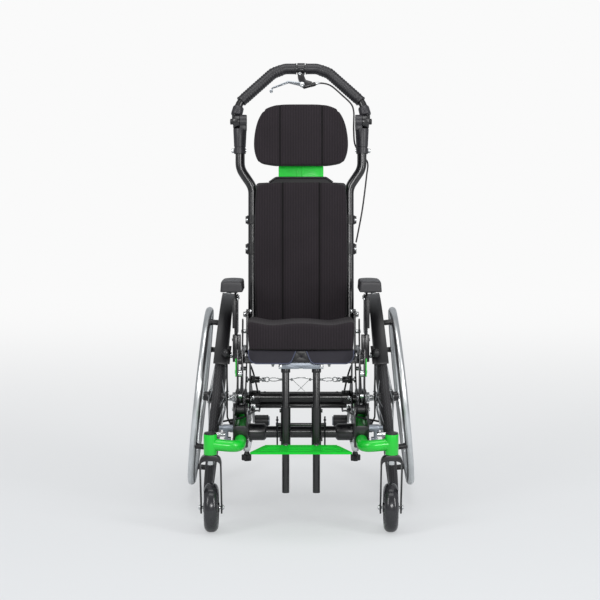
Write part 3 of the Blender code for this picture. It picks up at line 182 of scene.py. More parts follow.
def powder_coat(name, colour, roughness, coat, coat_roughness=0.1, specular=0.5):
    """Baked powder over metal: orange peel about 1.5 mm across, drawn a little deeper than real."""
    material, tree, place = new_material(name)
    cloud = noise(tree, place, 0.06, 3.0)
    shade = remap(tree, cloud, 0.86, 1.06, 0.3, 0.7)
    rough = remap(tree, cloud, roughness * 0.75, roughness * 1.25)
    values = {"Coat_Weight": coat, "Coat_Roughness": coat_roughness, "Specular_IOR_Level": specular}
    surface(tree, colour, shade, rough, noise(tree, place, 0.0015, 2.0), 0.12, **values)
    return material


GREEN_COAT = powder_coat("green_gloss_powder_coat", "06BE2C", 0.3, 0.3)


def at(x, y, z):
    return Matrix.Translation((x, y, z))


BASE = at(0, 0.0176, 0)
SIDES = ((1, "left"), (-1, "right"))
CASTER = (0.2315, -0.35)
SIDE_X, SIDE_Z = 0.157, 0.232


def rounded(points, radius, steps=6, closed=True):
    """A path whose corners turn through a curve of about the given radius."""
    points = [Vector(p) for p in points]
    out = []
    for i, corner in enumerate(points):
        if not closed and i in (0, len(points) - 1):
            out.append(corner)
            continue
        before, after = points[i - 1] - corner, points[(i + 1) % len(points)] - corner
        reach = min(radius / math.tan(before.angle(after) / 2), before.length * 0.49, after.length * 0.49)
        first, last = corner + before.normalized() * reach, corner + after.normalized() * reach
        for k in range(steps + 1):
            t = k / steps
            out.append(first * (1 - t) ** 2 + corner * 2 * t * (1 - t) + last * t * t)
    return out


def append(bm, part):
    """Adds one mesh under construction to another."""
    mesh = bpy.data.meshes.new("part")
    part.to_mesh(mesh)
    part.free()
    bm.from_mesh(mesh)
    bpy.data.meshes.remove(mesh)


def soften_rims(part, width, segments=2, angle=50):
    sharp = [e for e in part.edges if len(e.link_faces) == 2 and e.calc_face_angle(0) > math.radians(angle)]
    bmesh.ops.bevel(
        part, geom=sharp, offset=width, offset_type="OFFSET", segments=segments, profile=0.5, affect="EDGES",
        clamp_overlap=True, material=-1,
    )


def rod(bm, start, end, radius, rim=0.0006, segments=36, end_radius=None):
    """A round bar or cone between two points, with broken edges."""
    start, end = Vector(start), Vector(end)
    part = bmesh.new()
    turn = (end - start).to_track_quat("Z", "Y").to_matrix().to_4x4()
    place = Matrix.Translation((start + end) / 2) @ turn
    bmesh.ops.create_cone(
        part, cap_ends=True, segments=segments, radius1=radius,
        radius2=radius if end_radius is None else end_radius, depth=(end - start).length, matrix=place,
    )
    if rim:
        soften_rims(part, rim)
    append(bm, part)


def zrod(bm, start, end, x, y, *finish):
    """An upright rod; finish is its radius and what follows that in rod."""
    rod(bm, (x, y, start), (x, y, end), *finish)


def tube(bm, points, radius, resolution=6):
    """A bent tube along points, drawn as a bevelled curve and capped."""
    curve = bpy.data.curves.new("tube", "CURVE")
    curve.dimensions = "3D"
    curve.bevel_depth = radius
    curve.bevel_resolution = resolution
    curve.use_fill_caps = True
    spline = curve.splines.new("POLY")
    spline.points.add(len(points) - 1)
    for point, place in zip(spline.points, points):
        point.co = (*place, 1.0)
    obj = bpy.data.objects.new("tube", curve)
    scene.collection.objects.link(obj)
    bpy.context.view_layer.update()
    mesh = bpy.data.meshes.new_from_object(obj.evaluated_get(bpy.context.evaluated_depsgraph_get()))
    part = bmesh.new()
    part.from_mesh(mesh)
    bmesh.ops.remove_doubles(part, verts=part.verts, dist=1e-6)
    append(bm, part)
    bpy.data.objects.remove(obj, do_unlink=True)
    bpy.data.meshes.remove(mesh)


def piece(name, bm, material, body, place, replaces=(), side=1, sharp=40):
    """Finishes a mesh in world place: mirrored for the user's right side, faces out, riding on its body."""
    bm.transform(place)
    if side < 0:
        bm.transform(Matrix.Diagonal((-1, 1, 1, 1)))
    bmesh.ops.recalc_face_normals(bm, faces=bm.faces)
    mesh = bpy.data.meshes.new(name)
    bm.to_mesh(mesh)
    bm.free()
    mesh.materials.append(material)
    mesh.shade_smooth()
    mesh.set_sharp_from_angle(angle=math.radians(sharp))
    obj = bpy.data.objects.new(name, mesh)
    scene.collection.objects.link(obj)
    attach(obj, body)
    if replaces:
        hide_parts(*replaces)
    return obj


def both(name, bm, material, body, place, replaces=(), sharp=40):
    """The same piece on both sides; the * in a name stands for the side's word."""
    made = []
    for side, word in SIDES:
        own, carrier, *nodes = [text.replace("*", word) for text in (name, body, *replaces)]
        made.append(piece(own, bm.copy(), material, carrier, place, nodes, side, sharp))
    bm.free()
    return made


bm = bmesh.new()
arm = [(*CASTER, 0.2395), (SIDE_X, -0.352, SIDE_Z), (SIDE_X, 0.165, SIDE_Z)]
tube(bm, rounded(arm, 0.045, 16, closed=False), 0.015, 10)
zrod(bm, 0.2132, 0.2658, *CASTER, 0.017, 0.0008, 48)
weld = [(0.2155 - 0.0008 * k, -0.35, 0.2379) for k in (0, 4)]
tube(bm, weld, 0.0161, 10)
both("frame_side_*", bm, GREEN_COAT, "base", BASE, ["base_frame_*"])


# Caster housing caps and side tube plugs: black moulded polyethylene, pressed in.
# The mould leaves a fine even grain and a soft sheen.
def moulded(name, colour, roughness, grain=0.0009, depth=0.25):
    """Moulded plastic or rubber: spark-eroded grain, drawn at least 0.9 mm so that it shows."""
    material, tree, place = new_material(name)
    grains = noise(tree, place, grain, 3.0, 0.7)
    shade = remap(tree, noise(tree, place, 0.035, 4.0), 0.8, 1.15, 0.3, 0.7)
    rough = remap(tree, grains, roughness * 0.8, min(1.0, roughness * 1.2))
    surface(tree, colour, shade, rough, grains, depth)
    return material


BLACK_PLASTIC = moulded("black_moulded_nylon", "121114", 0.38)

bm = bmesh.new()
zrod(bm, 0.265, 0.27, *CASTER, 0.016, 0.0016, 40)
rod(bm, (SIDE_X, 0.164, SIDE_Z), (SIDE_X, 0.169, SIDE_Z), 0.015, 0.0014)
both("frame_caps_*", bm, BLACK_PLASTIC, "base", BASE)


# Lower crossbar: black coated tube with a cast clamp at each end that grips the
# side tube. The clamps are turned down at the inner end and split by two screws.
def lathe(bm, profile, steps, place=None):
    """A closed (radius, x) profile turned about X."""
    part = bmesh.new()
    verts = [part.verts.new((x, 0.0, -radius)) for radius, x in profile]
    edges = [part.edges.new((verts[i - 1], verts[i])) for i in range(len(verts))]
    bmesh.ops.spin(
        part, geom=verts + edges, cent=(0, 0, 0), axis=(1, 0, 0), dvec=(0, 0, 0), angle=math.tau, steps=steps,
        use_merge=True,
    )
    bmesh.ops.remove_doubles(part, verts=part.verts, dist=1e-6)
    if place is not None:
        part.transform(place)
    append(bm, part)


def zinc(name, colour, roughness):
    """Bright zinc plate or stainless: brushed lines too fine to see, so only the roughness varies."""
    material, tree, place = new_material(name)
    grain = noise(tree, place, 0.004, 4.0)
    rough = remap(tree, grain, roughness * 0.6, roughness * 1.5)
    surface(tree, colour, None, rough, grain, 0.05, Metallic=1.0)
    return material


BLACK_COAT = powder_coat("black_gloss_powder_coat", "0E0D10", 0.3, 0.4, 0.22)
BLACK_OXIDE = zinc("black_oxide_steel", "2A2A2E", 0.4)


def hex_bolt(bm, seat, head, radius):
    """A bolt head: hexagon with a washer under it."""
    seat, head = Vector(seat), Vector(head)
    way = (head - seat).normalized()
    rod(bm, seat, seat + way * 0.0009, radius * 1.35, 0.0003, 28)
    rod(bm, seat + way * 0.0009, head, radius, segments=6)


def xrod(bm, start, end, y, z, *finish):
    """A rod across the chair, with the same finish."""
    rod(bm, (start, y, z), (end, y, z), *finish)


CROSSBAR = (-0.14, 0.226)

bm = bmesh.new()
xrod(bm, -0.125, 0.125, *CROSSBAR, 0.0155, 0, 48)
for side in (1, -1):
    clamp = [
        (0.006, 0.0918), (0.0168, 0.0918), (0.0176, 0.0926), (0.0218, 0.0965), (0.0225, 0.098),
        (0.0225, 0.1366), (0.0218, 0.1374), (0.006, 0.1374),
    ]
    lathe(bm, [(r, side * x) for r, x in clamp], 48, at(0, *CROSSBAR))
piece("lower_crossbar_tube", bm, BLACK_COAT, "base", BASE, ["lower_crossbar"])
bm = bmesh.new()
for side in (1, -1):
    for x in (0.106, 0.126):
        hex_bolt(bm, (side * x, -0.156, 0.2415), (side * x, -0.1588, 0.2442), 0.0034)
piece("crossbar_screws", bm, BLACK_OXIDE, "base", BASE)


# Camber tube: black coated cross beam over a stiffener rail. Zinc plugs with lock
# nuts come out through the cradles and hold the axles at six degrees of camber.
def bush(inner, outer, low, high, corner):
    """The profile of a ring or boss from low to high, with its outer corners cut."""
    return [
        (inner, low), (outer - corner, low), (outer, low + corner), (outer, high - corner),
        (outer - corner, high), (inner, high),
    ]


BRIGHT_ZINC = zinc("bright_zinc_plate", "C9CBCC", 0.22)
CAMBER = math.radians(6)
AXLE_Z = 0.0125 + 0.2625 * math.cos(CAMBER)
AXLE = (0.09, AXLE_Z)
WHEEL = BASE @ at(0.229, *AXLE) @ Matrix.Rotation(-CAMBER, 4, "Y")

bm = bmesh.new()
xrod(bm, -0.1372, 0.1372, *AXLE, 0.016, 0, 48)
xrod(bm, -0.126, 0.126, 0.086, AXLE_Z - 0.0215, 0.0078, 0.0005, 32)
for side in (1, -1):
    band = [
        (0.01, 0.112), (0.018, 0.112), (0.0195, 0.1135), (0.0195, 0.1358), (0.0182, 0.1372), (0.01, 0.1372),
    ]
    lathe(bm, [(r, side * x) for r, x in band], 48, at(0, *AXLE))
    for x in (0.118, 0.131):
        zrod(bm, AXLE_Z + 0.015, AXLE_Z + 0.0215, side * x, 0.08, 0.0046, 0.001, 24)
    zrod(bm, AXLE_Z - 0.028, AXLE_Z + 0.017, side * 0.1, 0.0885, 0.0036, 0.0005, 6)
piece("camber_beam", bm, BLACK_COAT, "base", BASE, ["camber_tube"])
bm = bmesh.new()
for side in (1, -1):
    hex_bolt(bm, (side * 0.132, 0.0712, AXLE_Z + 0.003), (side * 0.132, 0.0676, AXLE_Z + 0.003), 0.0034)
    hex_bolt(bm, (side * 0.129, 0.079, AXLE_Z - 0.0235), (side * 0.129, 0.0748, AXLE_Z - 0.0235), 0.004)
piece("camber_screws", bm, BRIGHT_ZINC, "base", BASE)
bm = bmesh.new()
xrod(bm, 0.1374, 0.1825, *AXLE, 0.0122, 0.0008, 40)
xrod(bm, 0.1425, 0.1486, *AXLE, 0.015, 0.0008, 40)
xrod(bm, 0.1806, 0.1822, *AXLE, 0.0158, 0.0004)
xrod(bm, 0.1822, 0.1893, *AXLE, 0.0146, 0.001, 6)
xrod(bm, 0.188, 0.1984, *AXLE, 0.0066, 0, 28)
for k in range(5):
    xrod(bm, 0.1896 + 0.0018 * k, 0.1908 + 0.0018 * k, *AXLE, 0.0076, 0.0004, 28)
axle = bmesh.new()
xrod(axle, -0.05, 0.0405, 0, 0, 0.0062, 0.0003, 32)
lathe(axle, bush(0.0047, 0.0095, 0.0404, 0.0435, 0.0007), 36)
axle.transform(BASE.inverted() @ WHEEL)
append(bm, axle)
both("axle_plug_*", bm, BRIGHT_ZINC, "base", BASE)


# Rocker cradles: black coated channels folded from 4 mm plate, open in front where the
# saddle wall holds the tube. They carry the roller pin, glide, lock guide and axle block.
PLANES = {
    "XY": Matrix.Identity(4), "XZ": Matrix(((1, 0, 0, 0), (0, 0, -1, 0), (0, 1, 0, 0), (0, 0, 0, 1))),
    "YZ": Matrix(((0, 0, 1, 0), (1, 0, 0, 0), (0, 1, 0, 0), (0, 0, 0, 1))),
}


def plate(bm, outline, plane, low, high, rim=0.0006, holes=(), segments=2):
    """Sheet cut to an outline, from low to high across its plane, with broken edges."""
    part = bmesh.new()
    outline = [(p[0], p[1]) for p in outline]
    if holes:
        edges = []
        for ring in (outline, *holes):
            verts = [part.verts.new((p[0], p[1], 0.0)) for p in ring]
            edges += [part.edges.new((verts[i - 1], verts[i])) for i in range(len(verts))]
        bmesh.ops.triangle_fill(part, use_beauty=True, use_dissolve=False, edges=edges)
    else:
        part.faces.new([part.verts.new((*p, 0.0)) for p in outline])
    grown = bmesh.ops.extrude_face_region(part, geom=part.faces[:])["geom"]
    bmesh.ops.translate(
        part, verts=[v for v in grown if isinstance(v, bmesh.types.BMVert)], vec=(0, 0, high - low),
    )
    bmesh.ops.recalc_face_normals(part, faces=part.faces)
    if rim:
        soften_rims(part, rim, segments, 60)
    base = -high if plane == "XZ" else low
    part.transform(PLANES[plane] @ at(0, 0, base))
    append(bm, part)


def block(bm, low, high, rim=0.0008):
    """A block between two corners, with rounded edges."""
    part = bmesh.new()
    low, high = Vector(low), Vector(high)
    size = Matrix.Diagonal((*(high - low), 1.0))
    bmesh.ops.create_cube(part, size=1.0, matrix=Matrix.Translation((low + high) / 2) @ size)
    soften_rims(part, rim)
    append(bm, part)


def circle_path(centre, radius, steps=24, start=0.0, end=math.tau):
    count = steps if abs(end - start - math.tau) < 1e-6 else steps + 1
    turns = [start + (end - start) * k / steps for k in range(count)]
    return [(centre[0] + radius * math.cos(a), centre[1] + radius * math.sin(a)) for a in turns]


def rect(x0, y0, x1, y1):
    return [(x0, y0), (x1, y0), (x1, y1), (x0, y1)]


TILT_Y, TILT_Z = -0.08, 0.62


def below_tilt(radius, degrees):
    """A point round the tilt centre: 0 degrees straight down, positive to the rear."""
    angle = math.radians(degrees)
    return (TILT_Y + radius * math.sin(angle), TILT_Z - radius * math.cos(angle))


ROLLER = below_tilt(0.3528, -28)
GLIDE = below_tilt(0.3531, 17)
LOCK = below_tilt(0.328, 27)

cheek = [
    (-0.275, 0.2129), (-0.268, 0.3), (-0.262, 0.318), (-0.2456, 0.326), (-0.23, 0.318), (-0.221, 0.295),
    (-0.19, 0.262), (-0.02, 0.262), (0.002, 0.287), (0.046, 0.336), (0.058, 0.342), (0.08, 0.342),
    (0.094, 0.33), (0.126, 0.27), (0.126, 0.2129),
]
raised = [*cheek[:10], (0.052, 0.378), (0.059, 0.385), (0.078, 0.385), (0.085, 0.378), *cheek[12:]]
bracket = [
    (0.129, 0.202), (0.1383, 0.202), (0.1383, 0.2127), (0.156, 0.2127), (0.156, 0.202), (0.1525, 0.1765),
    (0.1355, 0.1765),
]
bm = bmesh.new()
slots = [rounded(rect(y0, 0.234, y1, 0.248), 0.0065, 5) for y0, y1 in ((-0.205, -0.165), (-0.1, -0.03))]
plate(bm, rounded(raised, 0.006, 4), "YZ", 0.1378, 0.1416, 0.0007, slots)
plate(bm, rounded(cheek, 0.006, 4), "YZ", 0.1724, 0.1762, 0.0007, slots)
block(bm, (0.1395, -0.2745, 0.2129), (0.1745, 0.1255, 0.2167), 0.0006)
wall = rounded(rect(0.1383, 0.2131, 0.1757, 0.27), 0.011, 8)
plate(bm, wall, "XZ", -0.2744, -0.269, 0.0009, [circle_path((SIDE_X, SIDE_Z), 0.0159, 40)])
axle_end = rounded(rect(0.1492, 0.248, 0.1798, 0.2954), 0.004, 4)
plate(bm, axle_end, "XZ", 0.0742, 0.1058, 0.0012)
ear = rounded(rect(0.0755, 0.2302, 0.1045, 0.2946), 0.007)
plate(bm, ear, "YZ", 0.1757, 0.1804, 0.0009)
xrod(bm, 0.1134, 0.139, *LOCK, 0.0088, 0.0008)
xrod(bm, 0.129, 0.1376, *LOCK, 0.0112, 0.001, 6)
xrod(bm, 0.14, 0.174, *GLIDE, 0.0127, 0)
xrod(bm, 0.127, 0.139, 0.112, 0.235, 0.004, 0.0005, 24)
xrod(bm, 0.1755, 0.1983, -0.205, 0.25, 0.004, 0.0005, 24)
both("rocker_cradle_*", bm, BLACK_COAT, "base", BASE, ["cradle_*"])
bm = bmesh.new()
xrod(bm, 0.14, 0.174, *ROLLER, 0.004, 0, 24)
for point in (ROLLER, GLIDE, (-0.24, 0.226), (0.02, 0.226)):
    hex_bolt(bm, (0.1762, *point), (0.1792, *point), 0.0046)
    hex_bolt(bm, (0.1378, *point), (0.1348, *point), 0.0046)
for z in (0.2525, 0.278, 0.289):
    rod(bm, (0.166, 0.0745, z), (0.166, 0.0716, z), 0.0034, 0.0007, 20)
both("cradle_bolts_*", bm, BRIGHT_ZINC, "base", BASE)
bm = bmesh.new()
plate(bm, bracket, "XZ", -0.1518, -0.1282, 0.0012)
both("knob_bracket_*", bm, BRIGHT_ZINC, "base", BASE)


# Rear tyres: 22 in by 1 in pneumatic tyres, black rubber moulded with a round tread
# of slanted blocks, seated in the rim. The tread blocks are drawn a lighter grey than the casing.
TYRE_RUBBER = moulded("black_tyre_rubber", "242325", 0.68, 0.0012, 0.4)
# the tread blocks are drawn lighter than the casing
LIGHT_TREAD_RUBBER = moulded("light_grey_tread_rubber", "3E3D40", 0.7, 0.0012, 0.4)
TYRE_MAJOR, TYRE_MINOR = 0.2625, 0.0118


def on_tyre(turn, across, height):
    """A point on the tyre in wheel space: turn and across in radians, height above the casing."""
    radius = TYRE_MINOR + height
    out = TYRE_MAJOR + radius * math.cos(across)
    return Vector((radius * math.sin(across), out * math.sin(turn), out * math.cos(turn)))


def tread_block(bm, turn, across, length, width, skew):
    """One raised block: a square pulled into a low frustum that follows the casing."""
    part = bmesh.new()
    bmesh.ops.create_cube(part, size=2.0)
    for vert in part.verts:
        u, v, w = vert.co
        height, shrink = (0.0007, 0.86) if w > 0 else (-0.0004, 1.0)
        ahead = (u * length * shrink + v * skew) / TYRE_MAJOR
        vert.co = on_tyre(turn + ahead, across + v * width * shrink / TYRE_MINOR, height)
    append(bm, part)


tread = bmesh.new()
for row, across in enumerate((-0.8, -0.26, 0.26, 0.8)):
    way = 1 if across < 0 else -1
    long, wide, skew = (0.0029, 0.0019, 0.003) if row in (1, 2) else (0.0026, 0.0022, -0.0016)
    tread_block(tread, 0.0 if row in (0, 2) else math.pi / 180, across, long, wide, way * skew)
pattern = tread.copy()
for k in range(1, 180):
    step = pattern.copy()
    step.transform(Matrix.Rotation(-math.tau * k / 180, 4, "X"))
    append(tread, step)
pattern.free()

bm = bmesh.new()
casing = [
    (TYRE_MAJOR + TYRE_MINOR * math.cos(a), TYRE_MINOR * math.sin(a))
    for a in (math.radians(-130 + 260 * k / 20) for k in range(21))
]
lathe(bm, [*casing, (0.2513, 0.008), (0.2513, -0.008)], 144)
both("tyre_*", bm, TYRE_RUBBER, "wheel_*", WHEEL, ["rear_tyre_*"], sharp=50)
both("tyre_tread_*", tread, LIGHT_TREAD_RUBBER, "wheel_*", WHEEL, sharp=50)


# Rear wheels: black anodised double-wall rim, turned aluminium hub and stainless
# spokes, laced so that neighbours cross, each held by a nipple in the rim.
def mirrored(half):
    """A profile given up to its middle, run back on the other side."""
    return [*half, *((radius, -x) for radius, x in reversed(half) if x)]


RIM_BLACK = powder_coat("black_anodised_rim", "141417", 0.3, 0.1)
SPOKE_STEEL = zinc("stainless_spoke_wire", "A9ACAE", 0.3)

bm = bmesh.new()
rim = [
    (0.2388, 0.0), (0.2392, 0.004), (0.244, 0.0088), (0.2452, 0.0095), (0.2502, 0.0095), (0.251, 0.0088),
    (0.251, 0.008), (0.249, 0.007),
]
lathe(bm, mirrored(rim), 144)
flanges = [
    (0.0212, -0.0248), (0.022, -0.024), (0.022, -0.0212), (0.0212, -0.0205), (0.0142, -0.0168),
    (0.0122, -0.012), (0.0118, 0.0),
]
hub = [
    (0.007, -0.028), (0.0115, -0.028), (0.0125, -0.0272), (0.014, -0.0262), *mirrored(flanges), (0.014, 0.028),
    (0.0132, 0.03), (0.013, 0.0385), (0.012, 0.0398), (0.007, 0.0398),
]
lathe(bm, hub, 56)
both("rim_and_hub_*", bm, RIM_BLACK, "wheel_*", WHEEL, ["rear_wheel_*"], sharp=35)
bm = bmesh.new()
for k in range(24):
    flange = 1 if k % 2 else -1
    lean = 1 if (k // 2) % 2 else -1
    at_rim = math.tau * k / 24
    at_hub = at_rim + lean * math.radians(58)
    hub_end = Vector((flange * 0.024 + lean * 0.0016, 0.019 * math.sin(at_hub), 0.019 * math.cos(at_hub)))
    rim_end = Vector((flange * 0.002, 0.2395 * math.sin(at_rim), 0.2395 * math.cos(at_rim)))
    rod(bm, hub_end, rim_end, 0.001, 0, 8)
    way = (hub_end - rim_end).normalized()
    rod(bm, rim_end - way * 0.0015, rim_end + way * 0.0085, 0.0021, 0, 8, 0.0016)
    rod(bm, hub_end - Vector((0.0024, 0, 0)), hub_end + Vector((0.0024, 0, 0)), 0.0021, 0, 8)
both("spokes_*", bm, SPOKE_STEEL, "wheel_*", WHEEL)


# Handrims: silver anodised aluminium tube rolled into a ring and held off the rim by
# four black nylon tabs. The anodising is satin and slightly cloudy.
def anodised(name, colour, roughness):
    """Clear anodised aluminium: satin, cloudy by a few percent, with a fine random grain."""
    material, tree, place = new_material(name)
    cloud = noise(tree, place, 0.05, 5.0)
    shade = remap(tree, cloud, 0.9, 1.05, 0.3, 0.7)
    rough = remap(tree, cloud, roughness * 0.8, roughness * 1.25)
    surface(tree, colour, shade, rough, noise(tree, place, 0.0012, 2.0), 0.06, Metallic=1.0)
    return material


SILVER = anodised("silver_anodised_aluminium", "DADDDE", 0.3)

bm = bmesh.new()
turns = [math.tau * k / 24 for k in range(24)]
lathe(bm, [(0.236 + 0.0105 * math.cos(a), 0.048 + 0.0105 * math.sin(a)) for a in turns], 144)
both("push_rim_*", bm, SILVER, "wheel_*", WHEEL, ["handrim_*"])
bm = bmesh.new()
for k in range(4):
    angle = math.radians(22.5) + math.tau * k / 4
    y, z = -0.2415 * math.sin(angle), 0.2415 * math.cos(angle)
    xrod(bm, 0.0098, 0.044, y, z, 0.0074, 0.001, 28)
    rod(bm, (0.0345, y, z), (0.0405, y * 0.992, z * 0.992), 0.0076, 0.0008, 28, 0.0084)
both("push_rim_tabs_*", bm, BLACK_PLASTIC, "wheel_*", WHEEL)


# Axle buttons: stainless quick-release pins with a domed end that sit in the axle.
POLISHED = zinc("polished_stainless_pin", "D3D5D6", 0.14)

bm = bmesh.new()
pin = [
    (0.0, 0.0325), (0.0036, 0.0325), (0.0041, 0.033), (0.0041, 0.0462), (0.0036, 0.047), (0.0022, 0.0475),
    (0.0, 0.0476),
]
lathe(bm, pin, 36)
both("quick_release_*", bm, POLISHED, "axle_button_*", WHEEL, ["axle_button_*"])


# Caster forks: black coated cast legs raked to the rear under a bevelled crown, with
# a plated stem bolt above and a plated axle bolt through the legs.
def arch_path(half, rise):
    """A full arch over the fork's legs, from one leg to the other."""
    out = []
    for k in range(25):
        a = math.pi * k / 24
        out.append(
            (math.copysign(half * abs(math.cos(a)) ** 0.75, math.cos(a)), 0.186 + rise * math.sin(a) ** 0.75)
        )
    return out


TRAIL, CASTER_Z = 0.04, 0.0635

bm = bmesh.new()
leg = [
    (-0.0125, 0.19), (0.031, 0.072), (0.031, 0.056), (0.033, 0.0495), (0.04, 0.0465), (0.047, 0.0495),
    (0.049, 0.056), (0.049, 0.072), (0.0145, 0.19),
]
for low, high in ((-0.0285, -0.0245), (0.0245, 0.0285)):
    plate(bm, leg, "YZ", low, high, 0.0008)
crown = arch_path(0.0285, 0.0262) + arch_path(0.0242, 0.011)[::-1]
plate(bm, crown, "XZ", -0.0115, 0.0135, 0.0009)
fork = BASE @ at(*CASTER, 0)
both("fork_*", bm, BLACK_COAT, "caster_fork_*", fork, ["caster_fork_*"])
bm = bmesh.new()
zrod(bm, 0.186, 0.2022, 0, 0, 0.0092, 0.0012, 6)
zrod(bm, 0.211, 0.2129, 0, 0, 0.0092, 0.0004, 32)
zrod(bm, 0.202, 0.26, 0, 0, 0.0062, 0, 28)
xrod(bm, -0.0335, 0.0335, TRAIL, CASTER_Z, 0.004, 0.0005, 24)
for way in (-1, 1):
    hex_bolt(bm, (way * 0.0285, TRAIL, CASTER_Z), (way * 0.0322, TRAIL, CASTER_Z), 0.0062)
both("fork_bolts_*", bm, BRIGHT_ZINC, "caster_fork_*", fork)


# Casters: 5 in by 1.5 in wheels, a solid black polyurethane tread moulded on a dished
# nylon wheel with five webs. New polyurethane keeps the mould's smooth gloss.
CASTER_PU = moulded("black_caster_polyurethane", "29292C", 0.2, 0.0014, 0.06)

axle = fork @ at(0, TRAIL, CASTER_Z)
bm = bmesh.new()
tread = [
    (0.044, 0.015), (0.0465, 0.0176), (0.05, 0.018), (0.0545, 0.0168), (0.059, 0.0138), (0.062, 0.0098),
    (0.0633, 0.0052), (0.0635, 0.0),
]
lathe(bm, mirrored(tread), 96)
both("caster_tread_*", bm, CASTER_PU, "caster_wheel_*", axle, ["caster_wheel_*"], sharp=50)
bm = bmesh.new()
core = [
    (0.0045, 0.0208), (0.0122, 0.0208), (0.0132, 0.0198), (0.015, 0.0095), (0.04, 0.0085), (0.0418, 0.015),
    (0.0442, 0.0158),
]
lathe(bm, mirrored(core), 72)
for k in range(5):
    web = bmesh.new()
    for low, high in ((0.0075, 0.0145), (-0.0145, -0.0075)):
        block(web, (low, -0.0022, 0.0135), (high, 0.0022, 0.0425), 0.0006)
    web.transform(Matrix.Rotation(math.tau * k / 5, 4, "X"))
    append(bm, web)
both("caster_core_*", bm, BLACK_PLASTIC, "caster_wheel_*", axle)


# Rockers: two curved black plates joined by plated spacers, with a green lug in front
# and the black seat rail, arm socket and back hinge bracket welded on.
def turned(degrees, axis):
    return Matrix.Rotation(math.radians(degrees), 4, axis)


SEAT = BASE @ at(0, TILT_Y, TILT_Z) @ turned(-5, "X")
RECLINE = (0.125, -0.095)

first, last, front = math.radians(-123), math.radians(-22), math.radians(-116)
ladder = circle_path((0, 0), 0.34, 72, first, last) + circle_path((0, 0), 0.316, 68, last, front)
ladder += [(-0.156, -0.166), (-0.188, -0.166)]
bm = bmesh.new()
lug = rounded([(-0.184, -0.236), (-0.154, -0.236), (-0.16, -0.189), (-0.186, -0.189)], 0.006, 5)
plate(bm, lug, "YZ", 0.1657, 0.169, 0.0009)
both("rocker_*_lug", bm, GREEN_COAT, "seat", SEAT, ["rocker_*"])
bm = bmesh.new()
plate(bm, ladder, "YZ", 0.1612, 0.1656, 0.0009)
plate(bm, ladder, "YZ", 0.149, 0.1525, 0.0008)
rod(bm, (0.157, -0.172, -0.1975), (0.157, 0.268, -0.1975), 0.0075, 0.0008)
block(bm, (0.1602, -0.0125, -0.213), (0.1704, 0.0125, -0.141), 0.0012)
block(bm, (0.1776, -0.0125, -0.213), (0.1815, 0.0125, -0.141), 0.0012)
for y0, y1 in ((-0.0125, -0.0087), (0.0087, 0.0125)):
    block(bm, (0.168, y0, -0.213), (0.18, y1, -0.141), 0.0006)
bracket = rounded([(0.09, -0.203), (0.16, -0.203), (0.141, -0.081), (0.109, -0.081)], 0.012)
plate(bm, bracket, "YZ", 0.1442, 0.1488, 0.0008, [circle_path((0.125, -0.145), 0.009)])
both("rocker_*_plates", bm, BLACK_COAT, "seat", SEAT)
bm = bmesh.new()
for angle in (-29, -8, 15, 40, 62):
    y, z = 0.328 * math.sin(math.radians(angle)), -0.328 * math.cos(math.radians(angle))
    xrod(bm, 0.152, 0.1616, y, z, 0.0058, 0, 24)
    hex_bolt(bm, (0.1656, y, z), (0.1678, y, z), 0.0042)
xrod(bm, 0.152, 0.1616, -0.171, -0.228, 0.0088, 0, 32)
xrod(bm, 0.1172, 0.153, *RECLINE, 0.004, 0.0004, 24)
xrod(bm, 0.1488, 0.1512, *RECLINE, 0.009, 0.0005, 32)
xrod(bm, 0.151, 0.157, *RECLINE, 0.0073, 0.0009, 6)
for z in (-0.2, -0.154):
    hex_bolt(bm, (0.1815, 0.0, z), (0.1838, 0.0, z), 0.0038)
hex_bolt(bm, (0.169, -0.171, -0.224), (0.1708, -0.171, -0.224), 0.0036)
both("rocker_*_bolts", bm, BRIGHT_ZINC, "seat", SEAT)


# Seat pan: pressed steel tray under the cushions, black coated, with four drained
# lightening holes, a folded rear rim and a bolt near each front corner.
bm = bmesh.new()
outline = rounded(rect(-0.156, -0.095, 0.156, 0.085), 0.006, 5)
holes = [circle_path((x, y), 0.022, 32) for x in (-0.072, 0.072) for y in (-0.048, 0.018)]
plate(bm, outline, "XY", -0.2093, -0.2053, 0.0008, holes)
for x in (-0.105, 0.105):
    block(bm, (x - 0.043, 0.0815, -0.217), (x + 0.043, 0.0855, -0.2088))
piece("seat_tray", bm, BLACK_COAT, "seat", SEAT, ["seat_pan"])
bm = bmesh.new()
for side in (1, -1):
    zrod(bm, -0.2092, -0.215, side * 0.074, -0.084, 0.0052, 0.0006, 6)
    zrod(bm, -0.2148, -0.219, side * 0.074, -0.084, 0.003, 0.0004, 20)
piece("seat_tray_bolts", bm, BRIGHT_ZINC, "seat", SEAT)
